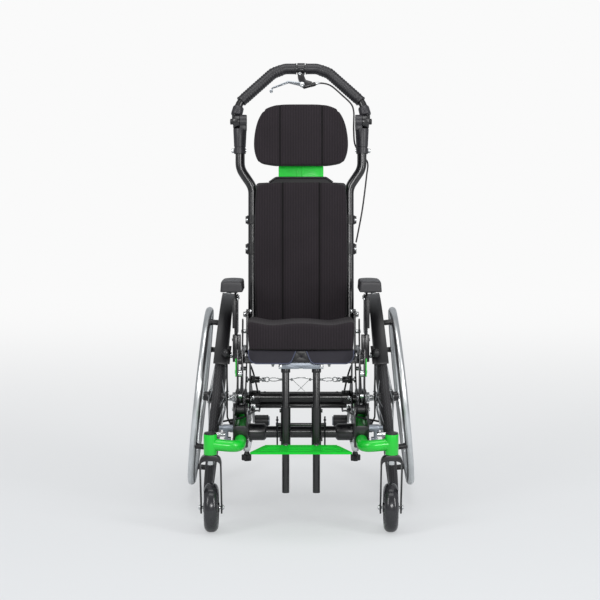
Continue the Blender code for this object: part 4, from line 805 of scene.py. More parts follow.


# Seat base: firm foam under the cushion with two rounded front lobes, in a smooth
# black cover whose front edges are closed by a blue-grey piping. The piping's lighter colour also paints the
# highlight along those edges.
def knit(name, colour, spacing, ribbing, relief=0.4):
    """Knitted cover: upright ribs, drawn as wide as the camera can hold, with painted shade along the seams.
    """
    material, tree, place = new_material(name)
    bands = {"wave_type": "BANDS", "bands_direction": "X", "wave_profile": "SIN"}
    scale = math.tau / (20 * spacing)
    ribs = add(
        tree, "ShaderNodeTexWave", bands, Vector=place, Scale=scale, Distortion=0.5, Detail=1.0,
        Detail_Scale=3.0,
    )
    fuzz = noise(tree, place, 0.0016, 2.0)
    # painted shade: the knit is darkened down to 0.12 along the marked seams, where the grooves fall in shade
    seam_shade = remap(tree, (add(tree, "ShaderNodeAttribute", {"attribute_name": "seam"}), "Fac"), 1.0, 0.12)
    wear = remap(tree, noise(tree, place, 0.08, 3.0), 0.9, 1.08, 0.3, 0.7)
    shade = remap(tree, (ribs, "Fac"), 1 - ribbing, 1 + ribbing)
    for factor in (wear, seam_shade):
        shade = add(tree, "ShaderNodeMath", {"operation": "MULTIPLY"}, _0=shade, _1=factor), 0
    height = add(tree, "ShaderNodeMath", {"operation": "MULTIPLY_ADD"}, _0=fuzz, _1=0.35, _2=(ribs, "Fac")), 0
    values = {"Sheen_Weight": 0.04, "Sheen_Roughness": 0.5, "Specular_IOR_Level": 0.25}
    surface(tree, colour, shade, remap(tree, fuzz, 0.82, 1.0), height, relief, 0.0005, **values)
    return material


BASE_COVER = knit("black_base_cover_cloth", "302E34", 0.0018, 0.05, 0.25)
# partly painted highlight: the piping's lighter blue-grey also stands for the highlight along the lobes' front
# edges
PIPING_AND_HIGHLIGHT = knit("blue_grey_piping_painted_highlight", "4C4F62", 0.002, 0.05, 0.2)

bm = bmesh.new()
lobe = [
    (0.013, -0.1712), (0.0265, -0.2048), (0.118, -0.2048), (0.1315, -0.1985), (0.137, -0.185),
    (0.137, -0.1686),
]
lobe = rounded(lobe, 0.016, 8, closed=False)
for side in (1, -1):
    plate(bm, [(side * x, z) for x, z in lobe], "XZ", -0.157, 0.1, 0.004, (), 4)
block(bm, (-0.029, -0.148, -0.194), (0.029, 0.098, -0.169), 0.003)
piece("seat_base_block", bm, BASE_COVER, "seat", SEAT, ["seat_base"], sharp=60)
bm = bmesh.new()
for side in (1, -1):
    edge = [
        Vector((side * (0.075 + (x - 0.075) * 0.985), -0.1562, -0.187 + (z + 0.187) * 0.955)) for x, z in lobe
    ]
    tube(bm, edge, 0.0017, 4)
piece("seat_base_piping", bm, PIPING_AND_HIGHLIGHT, "seat", SEAT)


# Seat cushion: contoured foam in the ribbed knit, with two thigh hollows, a raised
# middle, and a sewn edge where the top panel meets the front band.
KNIT = knit("black_ribbed_spacer_knit", "221D21", 0.007, 0.2)


def cushion(bm, half, centre, cuts, shape):
    """A unit box cut at the given places, shaped by a function of the place, smoothed and sized."""
    part = bmesh.new()
    bmesh.ops.create_cube(part, size=2.0)
    for axis, places in enumerate(cuts):
        normal = [float(axis == 0), float(axis == 1), float(axis == 2)]
        for spot in places:
            geom = part.verts[:] + part.edges[:] + part.faces[:]
            bmesh.ops.bisect_plane(part, geom=geom, plane_co=[spot * n for n in normal], plane_no=normal)
    for vert in part.verts:
        vert.co = shape(*vert.co)
    part.transform(Matrix.Translation(centre) @ Matrix.Diagonal((*half, 1.0)))
    bmesh.ops.recalc_face_normals(part, faces=part.faces)
    mesh = bpy.data.meshes.new("cushion")
    part.to_mesh(mesh)
    part.free()
    obj = bpy.data.objects.new("cushion", mesh)
    scene.collection.objects.link(obj)
    soften = obj.modifiers.new("soften", "SUBSURF")
    soften.levels = soften.render_levels = 3
    bpy.context.view_layer.update()
    smooth = bpy.data.meshes.new_from_object(obj.evaluated_get(bpy.context.evaluated_depsgraph_get()))
    bm.from_mesh(smooth)
    bpy.data.objects.remove(obj, do_unlink=True)
    bpy.data.meshes.remove(mesh)
    bpy.data.meshes.remove(smooth)


def seat_form(u, v, w):
    wave = -0.16 * math.cos(math.pi * (abs(u) - 0.5) * 2) if abs(u) < 0.999 else 0.0
    hollow = -0.14 * max(0.0, 1 - (v - 0.1) ** 2)
    rise = (w + 1) / 2
    up = w + rise * (wave + hollow * (1 - u * u) + 0.06)
    side_in = 1 - 0.035 * (1 - w) / 2 - 0.02 * abs(v) ** 4
    nose = 1 - 0.03 * abs(w) ** 3
    return Vector((u * side_in, v * nose * (1 - 0.02 * abs(u) ** 4), up))


bm = bmesh.new()
cuts = (
    (-0.96, -0.88, -0.7, -0.5, -0.2, 0.2, 0.5, 0.7, 0.88, 0.96), (-0.88, -0.5, 0.3, 0.8, 0.95),
    (-0.86, -0.4, 0.2, 0.62),
)
cushion(bm, (0.141, 0.108, 0.033), (0, -0.06, -0.135), cuts, seat_form)
piece("seat_cushion_pad", bm, KNIT, "seat", SEAT, ["seat_cushion"], sharp=80)


# Footrest hanger: machined aluminium clamp block under the seat front that grips two
# long black tubes, with a black lug between the lobes and pinch screws in front.
GREY_CAST = anodised("grey_cast_aluminium", "8D939B", 0.42)

bm = bmesh.new()
clamp = [
    (-0.058, -0.2195), (-0.005, -0.2195), *circle_path((0, -0.2195), 0.0048, 10, math.pi, 0),
    (0.005, -0.2195), (0.058, -0.2195), (0.058, -0.207), (0.045, -0.2062), (0.022, -0.2), (0.01, -0.1985),
    (-0.01, -0.1985), (-0.022, -0.2), (-0.045, -0.2062), (-0.058, -0.207),
]
plate(bm, clamp, "XZ", -0.139, -0.111, 0.001)
block(bm, (-0.045, -0.115, -0.2208), (0.045, -0.0702, -0.2098), 0.0012)
piece("hanger_block", bm, GREY_CAST, "seat", SEAT, ["footrest_hanger"])
bm = bmesh.new()
panel = [(-0.0262, -0.2015), (0.0262, -0.2015), (0.017, -0.1725), (-0.017, -0.1725)]
plate(bm, panel, "XZ", -0.15, -0.1482, 0.0005, [circle_path((0, -0.186), 0.003, 20)])
block(bm, (-0.009, -0.1485, -0.201), (0.009, -0.138, -0.19), 0.001)
piece("hanger_lug", bm, BLACK_PLASTIC, "seat", SEAT)
bm = bmesh.new()
TUBE_X, TUBE_Y = 0.04, -0.125
for x in (-TUBE_X, TUBE_X):
    zrod(bm, -0.545, -0.214, x, TUBE_Y, 0.0095, 0.0008, 40)
    zrod(bm, -0.23, -0.22, x, TUBE_Y, 0.0122, 0.001, 40)
piece("hanger_tubes", bm, BLACK_COAT, "seat", SEAT)
bm = bmesh.new()
for x in (-0.0535, 0.0535):
    hex_bolt(bm, (x, -0.139, -0.2132), (x, -0.1425, -0.2132), 0.004)
piece("hanger_screws", bm, BRIGHT_ZINC, "seat", SEAT)


# Footplate carrier: two black sleeves clamped on the hanger tubes and joined by a
# bridge, with thin black oxide stop rods beside them and lugs for the plate's hinge rod.
bm = bmesh.new()
xrod(bm, -0.065, 0.065, TUBE_Y, -0.366, 0.0043, 0.0006, 24)
for side in (1, -1):
    x = side * TUBE_X
    sleeve = [
        (0.0099, -0.425), (0.012, -0.425), (0.0127, -0.4243), (0.0127, -0.3198), (0.012, -0.319),
        (0.0099, -0.319),
    ]
    lathe(bm, sleeve, 48, at(x, TUBE_Y, 0) @ turned(-90, "Y"))
    lug = rounded(rect(-0.1495, -0.427, -0.137, -0.4135), 0.005, 5)
    plate(bm, lug, "YZ", x - 0.006, x + 0.006, 0.0007, [circle_path((-0.1445, -0.42), 0.0036, 20)])
    block(bm, (x - 0.006, -0.1385, -0.4262), (x + 0.006, -0.135, -0.414), 0.0006)
    for z in (-0.33, -0.405):
        xrod(bm, x + side * 0.011, x + side * 0.016, TUBE_Y, z, 0.0048, 0.0005, 24)
piece("carrier_sleeves", bm, BLACK_COAT, "footplate_carrier", SEAT, ["footplate_carrier"])
bm = bmesh.new()
for side in (1, -1):
    zrod(bm, -0.4355, -0.3445, side * 0.062, TUBE_Y, 0.0021, 0.0003, 16)
    xrod(bm, side * 0.059, side * 0.0655, TUBE_Y, -0.366, 0.0055, 0.0006, 6)
    zrod(bm, -0.356, -0.352, side * 0.062, TUBE_Y, 0.004, 0.0004, 6)
piece("carrier_rods", bm, BLACK_OXIDE, "footplate_carrier", SEAT)


# Footplate: green coated plate, wider in front, with nine drainage slots and a rolled
# rear rod that turns in the carrier's lugs, notched where the lugs stand.
HINGE = SEAT @ at(0, -0.1445, -0.42)
GREEN_TEXTURED = powder_coat(
    "green_textured_powder_coat", "06B82A", 0.62, 0.0, specular=0.2,
)
bm = bmesh.new()
outline = rounded([(0.097, -0.0088), (-0.097, -0.0088), (-0.131, -0.14), (0.131, -0.14)], 0.008)
slots = []
for row in range(3):
    y = -0.04 - row * 0.032
    spread = 0.097 + 0.034 * (-y / 0.14) - 0.016
    for x0, x1 in ((-spread, -0.052), (-0.034, 0.034), (0.052, spread)):
        ring = rounded(rect(x0, y - 0.008, x1, y + 0.008), 0.0075, 5)
        slots.append(ring)
plate(bm, outline, "XY", -0.0025, 0.0025, 0.0008, slots)
xrod(bm, -0.094, 0.094, 0, 0, 0.0032, 0.0005, 24)
for x0, x1 in ((-0.094, -0.05), (-0.03, 0.03), (0.05, 0.094)):
    block(bm, (x0, -0.0098, -0.0023), (x1, 0.0, 0.0023), 0.0006)
piece("foot_plate", bm, GREEN_TEXTURED, "footplate", HINGE, ["footplate"])


# Armrests: flat black post in the rocker's socket, thin moulded side guard, and an arm
# rest of soft black polyurethane foam with its own skin, screwed to a bracket.
PU_SKIN = moulded("black_integral_skin_foam", "262528", 0.42, 0.0014, 0.3)


def arm_form(u, v, w):
    return Vector((u * (1 - 0.05 * (1 + w) * abs(v) ** 6), v, w + 0.1 * (1 + w) * (1 - u * u) - 0.1))


body = "arm_*"
bm = bmesh.new()
block(bm, (0.1709, -0.0081, -0.2108), (0.1771, 0.0081, -0.022))
block(bm, (0.166, -0.07, -0.026), (0.196, 0.05, -0.0212), 0.0012)
both("arm_upright_*", bm, BLACK_COAT, body, SEAT, ["arm_post_*"])
bm = bmesh.new()
guard = rounded([(-0.08, -0.14), (0.08, -0.14), (0.084, -0.035), (-0.09, -0.035)], 0.02, 8)
plate(bm, guard, "YZ", 0.1685, 0.1709)
block(bm, (0.17, -0.0875, -0.118), (0.1795, -0.0835, -0.04), 0.0012)
both("side_guard_*", bm, BLACK_PLASTIC, body, SEAT)
bm = bmesh.new()
for y in (-0.045, 0.045):
    hex_bolt(bm, (0.1685, y, -0.044), (0.1645, y, -0.044), 0.0052)
for z in (-0.13, -0.105, -0.08):
    xrod(bm, 0.1769, 0.1775, 0, z, 0.003, 0.0002, 20)
for y in (-0.056, 0.036):
    zrod(bm, -0.0262, -0.0286, 0.188, y, 0.0046, 0.0008, 24)
both("arm_screws_*", bm, BRIGHT_ZINC, body, SEAT)
bm = bmesh.new()
cuts = ((-0.78, 0.0, 0.78), (-0.93, -0.6, 0.6, 0.93), (-0.72, 0.2))
cushion(bm, (0.0292, 0.1005, 0.0134), (0.181, -0.02, -0.007), cuts, arm_form)
for rest in both("arm_rest_*", bm, PU_SKIN, body, SEAT, ["arm_pad_*"], sharp=80):
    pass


# Back frame: black coated canes that swing outward above the shell to the push bar
# knuckles, joined by a brace.
BACK = SEAT @ at(0, *RECLINE) @ turned(-5, "X")
CANE_X = 0.131

bm = bmesh.new()
for side in (1, -1):
    cane = [(CANE_X, 0, -0.016), (CANE_X, 0, 0.345), (0.166, 0, 0.397), (0.166, 0, 0.497)]
    tube(bm, rounded([(side * x, y, z) for x, y, z in cane], 0.055, 14, closed=False), 0.0127, 9)
xrod(bm, -CANE_X, CANE_X, 0, 0.1, 0.008, 0)
piece("back_canes", bm, BLACK_COAT, "back", BACK, ["back_frame"])


# Back shell: vacuum-formed black shell behind the cushion, with a raised lip on top
# and two clamps round each cane, each closed by a plated screw.
bm = bmesh.new()
shell = [
    (-0.122, -0.03), (0.122, -0.03), (0.122, 0.356), (0.082, 0.358), (0.066, 0.371), (-0.066, 0.371),
    (-0.082, 0.358), (-0.122, 0.356),
]
plate(bm, rounded(shell, 0.01), "XZ", -0.0205, -0.0165, 0.001)
lip = rounded([(0.086, 0.358), (0.068, 0.3705), (-0.068, 0.3705), (-0.086, 0.358)], 0.012, 8, closed=False)
tube(bm, [Vector((p[0], -0.0195, p[1])) for p in lip], 0.003, 5)
for side in (1, -1):
    for low, tall in ((0.245, 0.024), (0.163, 0.03)):
        high = low + tall
        ring = [
            (0.0133, low), (0.0155, low), (0.0162, low + 0.0008), (0.0162, high - 0.0008), (0.0155, high),
            (0.0133, high),
        ]
        lathe(bm, ring, 44, at(side * CANE_X, 0, 0) @ turned(-90, "Y"))
        low_x, high_x = sorted((side * 0.112, side * 0.126))
        block(bm, (low_x, -0.0185, low), (high_x, -0.012, high), 0.0012)
        low_x, high_x = sorted((side * 0.143, side * 0.151))
        block(bm, (low_x, -0.006, low + 0.002), (high_x, 0.006, high - 0.002), 0.0012)
piece("back_moulding", bm, BLACK_PLASTIC, "back", BACK, ["back_shell"])
bm = bmesh.new()
for side in (1, -1):
    hex_bolt(bm, (side * 0.137, -0.011, 0.008), (side * 0.137, -0.016, 0.008), 0.004)
    for z in (0.257, 0.178):
        hex_bolt(bm, (side * 0.147, -0.006, z), (side * 0.147, -0.009, z), 0.003)
piece("shell_screws", bm, BRIGHT_ZINC, "back", BACK)


# Back cushion: foam in the ribbed knit, sewn through along two upright seams into
# three rolls, with a flatter front and drawn-in edges.
FRONT = 0.95  # size of a pad's front and back against its middle


def rolls(seam, depth, corner):
    """Shape of an upright pad that faces -Y: two seams, crowned front and round corners."""

    def form(u, v, w):
        front = (1 - v) / 2
        swell = 0.26 * (1 - abs(u) ** 4) * (1 - abs(w) ** 4)
        groove = depth * math.exp(-(((abs(u) - seam) / 0.045) ** 2))
        inset = 1 - corner * abs(u) ** 4 * abs(w) ** 4
        size = inset * (1 - (1 - FRONT) * abs(v) ** 2)
        return Vector((u * size, v - front * (swell - groove), w * size))

    return form


def shade_seams(bm, reach, width):
    """Marks two upright seams at reach from the middle, along which the knit paints shade into the grooves."""
    layer = bm.verts.layers.float.new("seam")
    for vert in bm.verts:
        vert[layer] = math.exp(-(((abs(vert.co.x) - reach) / width) ** 2))


def seams(seam):
    across = (
        seam - 0.14, seam - 0.045, seam - 0.015, seam, seam + 0.015, seam + 0.045, seam + 0.14, 0.86, 0.95,
    )
    return (tuple(-u for u in reversed(across)) + across, (-0.7, 0.7), (-0.97, -0.9, -0.4, 0.4, 0.9, 0.97))


bm = bmesh.new()
BACK_HALF, BACK_SEAM = 0.1295, 0.405
cushion(bm, (BACK_HALF, 0.02, 0.201), (0, -0.0408, 0.161), seams(BACK_SEAM), rolls(BACK_SEAM, 0.3, 0.05))
shade_seams(bm, BACK_SEAM * BACK_HALF * FRONT, 0.0026)
piece("back_pad", bm, KNIT, "back", BACK, ["back_cushion"], sharp=80)


# Headrest bracket: green coated plate bolted to the shell, with a square socket for
# the stem, two ribs and four screws.
bm = bmesh.new()
plate(bm, rounded(rect(-0.061, 0.325, 0.061, 0.404), 0.006), "XZ", -0.0162, -0.0132)
for low, high in (
    ((-0.0105, -0.0155, 0.335), (-0.0065, 0.0065, 0.392)),
    ((0.0065, -0.0155, 0.335), (0.0105, 0.0065, 0.392)),
):
    block(bm, low, high, 0.001)
block(bm, (-0.01, 0.0035, 0.335), (0.01, 0.0065, 0.392), 0.001)
for x in (-0.0095, 0.0035):
    block(bm, (x - 0.0022, -0.0178, 0.372), (x + 0.0022, -0.0142, 0.4025), 0.0012)
# painted light: the bracket's green is lighter than the frame's green, to make up for the shade it sits in
# behind the head pad
LIGHTENED_BRACKET_COAT = powder_coat("green_satin_powder_coat_painted_lighter", "08DC36", 0.5, 0.1)
piece("head_bracket", bm, LIGHTENED_BRACKET_COAT, "back", BACK, ["headrest_mount"])
bm = bmesh.new()
for x in (-0.05, 0.05):
    for z in (0.338, 0.358):
        hex_bolt(bm, (x, -0.0132, z), (x, -0.0098, z), 0.0038)
piece("head_bracket_screws", bm, BRIGHT_ZINC, "back", BACK)


# Headrest stem: square bright steel bar that slides in the bracket, with a fork and
# pin on top for the pad.
bm = bmesh.new()
block(bm, (-0.006, -0.009, 0.318), (0.006, 0.003, 0.476), 0.001)
block(bm, (-0.016, -0.013, 0.4705), (0.016, 0.003, 0.477), 0.001)
lug = rounded(rect(-0.014, 0.471, -0.001, 0.495), 0.005)
for low in (-0.016, 0.012):
    plate(bm, lug, "YZ", low, low + 0.004)
HEAD_PIN = (-0.008, 0.487)
xrod(bm, -0.0165, 0.0165, *HEAD_PIN, 0.003, 0.0004, 24)
piece("head_stem", bm, BRIGHT_ZINC, "headrest_stem", BACK, ["headrest_stem"])


# Headrest pad: ribbed knit over foam, sewn along two upright seams, on a moulded
# hinge boss. The top is arched and the lower corners are fuller.
HEAD = BACK @ at(0, *HEAD_PIN)
HEAD_HALF, HEAD_SEAM = 0.1345, 0.445


def head_form(u, v, w):
    x, y, z = rolls(HEAD_SEAM, 0.22, 0.15)(u, v, w)
    waist = 1 - 0.09 * max(0.0, w + 0.3) * abs(u) ** 3
    dip = 0.025 * (1 - 2 * u * u) if w < -0.9 and abs(u) < 0.72 else 0.0
    return Vector((x * waist, y - 0.15 * u * u, z + dip - 0.085 * u * u * max(0.0, w)))


bm = bmesh.new()
cushion(bm, (HEAD_HALF, 0.021, 0.0865), (0, -0.0375, -0.0045), seams(HEAD_SEAM), head_form)
shade_seams(bm, HEAD_SEAM * HEAD_HALF * FRONT, 0.0024)
piece("head_pad", bm, KNIT, "headrest_pad", HEAD, ["headrest_pad"], sharp=80)
bm = bmesh.new()
block(bm, (-0.01, -0.024, -0.007), (0.01, -0.0045, 0.007), 0.001)
lathe(bm, bush(0.0034, 0.007, -0.01, 0.01, 0.0004), 32)
piece("head_hinge", bm, BLACK_PLASTIC, "headrest_pad", HEAD)


# Push bar knuckles: moulded glass-filled nylon boots clamped on the canes, each with
# the inner half of the angle joint, a split collar and a plated clamp screw.
KNUCKLE = BACK @ at(0, 0, 0.5255)
BAR = KNUCKLE @ turned(-15, "X")
GLASS_NYLON = moulded("glass_filled_black_nylon", "29282C", 0.4)

bm = bmesh.new()
upright = at(0.1665, 0, 0) @ turned(-90, "Y")
boot = [
    (0.0139, -0.088), (0.0154, -0.088), (0.016, -0.0874), (0.016, -0.0722), (0.0154, -0.0716),
    (0.0149, -0.0716), (0.0149, -0.0694), (0.016, -0.0688), (0.0172, -0.045), (0.0183, -0.0215),
    (0.0176, -0.0197), (0.0139, -0.0197),
]
lathe(bm, boot, 56, upright)
disc = [(0.0, 0.148), (0.0178, 0.148), (0.019, 0.1492), (0.019, 0.1656), (0.018, 0.1666), (0.0, 0.1666)]
lathe(bm, disc, 56)
block(bm, (0.148, -0.015, -0.024), (0.1666, 0.015, -0.008), 0.0012)
xrod(bm, 0.165, 0.1755, 0, 0, 0.006, 0.0004, 28)
for k in range(12):
    angle = math.tau * k / 12
    y, z = 0.0158 * math.cos(angle), 0.0158 * math.sin(angle)
    xrod(bm, 0.1478, 0.1484, y, z, 0.0012, 0, 10)
both("knuckle_boot_*", bm, GLASS_NYLON, "back", KNUCKLE, ["knuckle_*"])
bm = bmesh.new()
xrod(bm, 0.1815, 0.1895, 0, -0.0797, 0.0062, 0.0022, 32)
xrod(bm, 0.148, 0.1515, 0, -0.0797, 0.004, 0.0006, 6)
both("knuckle_screw_*", bm, BRIGHT_ZINC, "back", KNUCKLE)


# Push bar: one black coated tube bent into an arch, with a round lug pressed on each
# end, the lever clamp in the middle and the cable barrel.
def arch_points():
    half = [(0.1782, 0.0), (0.1782, 0.0265), (0.166, 0.057), (0.077, 0.1425), (0.044, 0.1556)]
    points = [(x, 0.0, z) for x, z in half] + [(-x, 0.0, z) for x, z in reversed(half)]
    return rounded(points, 0.035, 10, closed=False)


bm = bmesh.new()
tube(bm, arch_points(), 0.0105, 9)
for side in (1, -1):
    lug = [
        (0.0068, 0.1669), (0.0182, 0.1669), (0.019, 0.1677), (0.019, 0.1838), (0.018, 0.185), (0.0092, 0.185),
        (0.0086, 0.1844), (0.0086, 0.1762), (0.0068, 0.1762),
    ]
    lathe(bm, [(r, side * x) for r, x in lug], 56)
block(bm, (-0.0105, -0.016, 0.147), (0.0105, 0.016, 0.156), 0.002)
lathe(bm, bush(0.0106, 0.016, -0.0105, 0.0105, 0.001), 48, at(0, 0, 0.1556))
casting = [
    (-0.01, 0.15), (-0.0085, 0.128), (-0.0015, 0.106), (0.006, 0.1), (0.03, 0.109), (0.03, 0.1165),
    (0.0135, 0.1215), (0.0085, 0.134), (0.01, 0.15),
]
plate(bm, casting, "XZ", -0.0055, 0.0055, 0.0012)
rod(bm, (0.006, 0, 0.1015), (0.04, 0, 0.1115), 0.0055, 0.0006, 28)
for k in range(5):
    rod(
        bm, (0.026 + 0.0022 * k, 0, 0.1074 + 0.00065 * k), (0.0272 + 0.0022 * k, 0, 0.10775 + 0.00065 * k),
        0.0062, 0.0003, 24,
    )
piece("push_arch", bm, BLACK_COAT, "push_bar", BAR, ["push_bar"])
bm = bmesh.new()
rod(bm, (0.003, -0.004, 0.105), (0.003, -0.0122, 0.105), 0.003, 0, 20)
hex_bolt(bm, (0.003, -0.0124, 0.105), (0.003, -0.0152, 0.105), 0.0046)
hex_bolt(bm, (-0.0035, -0.0055, 0.14), (-0.0035, -0.0085, 0.14), 0.0036)
rod(bm, (0.0395, 0, 0.1113), (0.05, 0, 0.114), 0.0036, 0.0006, 24)
piece("push_screws", bm, BRIGHT_ZINC, "push_bar", BAR)


# Grips: soft black rubber sleeves slid over the arch, smooth by the lever clamp and
# ribbed down the slope, with a rolled end.
GRIP_RUBBER = moulded("black_grip_rubber", "222124", 0.4, 0.0012, 0.2)


def along(points, spacing):
    """Evenly spaced points and ways ahead on a path of straight pieces."""
    run = [0.0]
    for p, q in zip(points, points[1:]):
        run.append(run[-1] + (q - p).length)
    count = max(2, round(run[-1] / spacing))
    out = []
    for k in range(count + 1):
        target = run[-1] * k / count
        i = next((n for n in range(1, len(run)) if run[n] >= target - 1e-12), len(run) - 1)
        p, q = points[i - 1], points[i]
        out.append((p.lerp(q, (target - run[i - 1]) / (run[i] - run[i - 1])), (q - p).normalized()))
    return out


def sleeve(bm, stations, radii, bore):
    """A hollow sleeve: rings square to the path outside and inside, joined at both ends."""
    part = bmesh.new()
    sides = 40
    rings = []
    for (centre, ahead), radius in list(zip(stations, radii)) + [(s, bore) for s in reversed(stations)]:
        across = Vector((-ahead.z, 0.0, ahead.x))
        ring = []
        for k in range(sides):
            a = math.tau * k / sides
            ring.append(
                part.verts.new(centre + across * radius * math.cos(a) + Vector((0, radius * math.sin(a), 0)))
            )
        rings.append(ring)
    for i in range(len(rings)):
        ring, following = rings[i], rings[(i + 1) % len(rings)]
        for k in range(sides):
            n = (k + 1) % sides
            part.faces.new((ring[k], ring[n], following[n], following[k]))
    append(bm, part)


bends = sorted((p for p in arch_points() if p.x > 0 and p.z > 0.058), key=lambda p: p.x)
stations = along([Vector((0.0125, 0, 0.1556)), *bends], 0.00125)
radii = []
for k in range(len(stations)):
    reach = k * 0.00125
    left = (len(stations) - 1 - k) * 0.00125
    ribbed = reach > 0.042 and left > 0.012
    rib = 0.0012 * (0.5 + 0.5 * math.cos(math.tau * reach / 0.0075)) if ribbed else 0.0
    roll = 0.0008 if reach < 0.0035 or left < 0.0035 else 0.0
    edge = 0.0006 if min(reach, left) < 0.0006 else 0.0
    radii.append(0.0147 + rib + roll - edge)
bm = bmesh.new()
sleeve(bm, stations, radii, 0.0109)
both("grip_sleeve_*", bm, GRIP_RUBBER, "push_bar", BAR, ["grip_*"], sharp=60)
bm = bmesh.new()
rod(bm, (0.1765, 0, 0.0175), (0.1705, 0, 0.043), 0.0158, 0.0035, 48, 0.015)
both("bar_socket_*", bm, GLASS_NYLON, "push_bar", BAR, sharp=60)


# Knuckle buttons: moulded push buttons that free the angle joint.
bm = bmesh.new()
cap = [
    (0.0, 0.1806), (0.0076, 0.1806), (0.008, 0.181), (0.008, 0.1918), (0.0072, 0.193), (0.005, 0.1934),
    (0.0, 0.1932),
]
lathe(bm, cap, 40)
both("angle_button_*", bm, BLACK_PLASTIC, "knuckle_button_*", BAR, ["knuckle_button_*"])


# Tilt lever: bent aluminium blade with a hooked, rolled tip, polished along its edges,
# on a pivot in front of the barrel.
LEVER = BAR @ at(0.003, 0, 0.105)
bm = bmesh.new()
blade = [
    (0.006, -0.003), (0.004, 0.006), (-0.038, 0.011), (-0.082, -0.008), (-0.0865, -0.018), (-0.0835, -0.019),
    (-0.079, -0.012), (-0.037, 0.004), (-0.002, -0.005),
]
plate(bm, rounded(blade, 0.004, 8), "XZ", -0.0118, -0.008, 0.0009, (), 3)
rod(bm, (-0.0845, -0.0125, -0.019), (-0.0845, -0.0056, -0.019), 0.0045, 0.0008, 28)
lathe(bm, bush(0.0034, 0.0075, -0.012, -0.0077, 0.0005), 40, turned(90, "Z"))
LEVER_STEEL = zinc("polished_lever_aluminium", "9A9FA4", 0.2)
piece("hand_lever", bm, LEVER_STEEL, "tilt_lever", LEVER, ["tilt_lever"])


# Tilt cable: black sheathed control cable from the lever's barrel down to the knuckle,
# then from the knuckle along the left cane.
SHEATH = moulded("black_cable_sheath", "1A191B", 0.42, 0.001, 0.15)


def route(points):
    """A smooth curve through the given points, one point every 3 mm."""
    points = [Vector(p) for p in points]
    ends = [points[0] * 2 - points[1], *points, points[-1] * 2 - points[-2]]
    fine = []
    for a, b, c, d in zip(ends, ends[1:], ends[2:], ends[3:]):
        for k in range(24):
            t = k / 24
            square, cube = a * 2 - b * 5 + c * 4 - d, b * 3 - a - c * 3 + d
            fine.append((b * 2 + (c - a) * t + square * t * t + cube * t**3) / 2)
    return [spot for spot, _ in along(fine + [points[-1]], 0.003)]


upper = [
    (0.0412, 0, 0.1119), (0.06, 0, 0.113), (0.083, 0, 0.105), (0.113, 0, 0.0775), (0.137, 0, 0.052),
    (0.144, 0, 0.03), (0.144, 0, 0.0006),
]
bm = bmesh.new()
tube(bm, route(upper), 0.0022, 5)
piece("cable_upper", bm, SHEATH, "push_bar", BAR, ["tilt_cable_upper"])
lower = [
    (0.144, 0.0, 0.5254), (0.144, 0.006, 0.5), (0.148, 0.022, 0.465), (0.166, 0.024, 0.436),
    (0.182, 0.016, 0.415), (0.179, 0.012, 0.376), (0.168, 0.008, 0.29), (0.156, 0.004, 0.225),
    (0.15, 0.0, 0.196),
]
bm = bmesh.new()
tube(bm, route(lower), 0.0022, 5)
piece("cable_lower", bm, SHEATH, "back", BACK, ["tilt_cable_lower"])


# Brake cables: the same sheath, from each wheel lock under the camber tube and round
# behind the cradle to its pedal.
run = [
    (0.204, -0.196, 0.266), (0.185, -0.184, 0.2675), (0.165, -0.172, 0.269), (0.143, -0.145, 0.271),
    (0.123, -0.06, 0.266), (0.116, 0.03, 0.248), (0.115, 0.082, 0.2375), (0.115, 0.118, 0.244),
    (0.119, 0.134, 0.272), (0.129, 0.136, 0.32), (0.139, 0.144, 0.35), (0.142, 0.164, 0.342),
    (0.14, 0.168, 0.3), (0.135, 0.15, 0.26),
]
bm = bmesh.new()
tube(bm, route(run), 0.0025, 5)
both("lock_cable_*", bm, SHEATH, "base", BASE, ["brake_cable_*"])


# Fenders: moulded black mudguards over the tyres with an inner skirt and a front
# flange, each carried by a bent rod with a foot on the cradle and a ball knob.
def band(inner, outer, first, last, steps=40):
    first, last = math.radians(first), math.radians(last)
    return circle_path((0, 0), outer, steps, first, last) + circle_path((0, 0), inner, steps, last, first)


bm = bmesh.new()
cover = bmesh.new()
plate(cover, band(0.2872, 0.29, 85, 151), "YZ", -0.017, 0.017, 0.001)
plate(cover, band(0.2869, 0.2897, 140, 150.5, 12), "YZ", -0.0265, -0.016, 0.0008)
skirt = bmesh.new()
plate(skirt, band(0.266, 0.2883, 85, 151), "YZ", -0.0168, -0.0145)
skirt.transform(turned(0.6, "X"))
append(cover, skirt)
cover.transform(BASE.inverted() @ WHEEL)
append(bm, cover)
block(bm, (0.1768, -0.13, 0.222), (0.189, -0.106, 0.25), 0.0014)
block(bm, (0.1826, -0.1325, 0.4235), (0.1975, -0.1285, 0.4385), 0.001)
ball = [
    (0.0, 0.149), (0.0085, 0.149), (0.0106, 0.15), (0.0119, 0.153), (0.0121, 0.157), (0.0117, 0.161),
    (0.0104, 0.1645), (0.008, 0.1672), (0.0045, 0.1687), (0.0, 0.1691),
]
lathe(bm, ball, 48, at(0.1965, 0, 0.441) @ turned(-90, "Z"))
rod(bm, (0.1965, -0.15, 0.441), (0.1965, -0.129, 0.441), 0.005, 0.0005, 24)
both("mudguard_*", bm, BLACK_PLASTIC, "base", BASE, ["fender_*"])
bm = bmesh.new()
stay = [(0.186, -0.118, 0.238), (0.1965, -0.12, 0.262), (0.196, -0.128, 0.43), (0.197, -0.131, 0.446)]
tube(bm, rounded(stay, 0.02, 8, closed=False), 0.0023)
both("mudguard_stay_*", bm, BLACK_COAT, "base", BASE)
bm = bmesh.new()
hex_bolt(bm, (0.1868, -0.1325, 0.431), (0.1868, -0.1362, 0.431), 0.0036)
both("mudguard_screw_*", bm, BRIGHT_ZINC, "base", BASE)


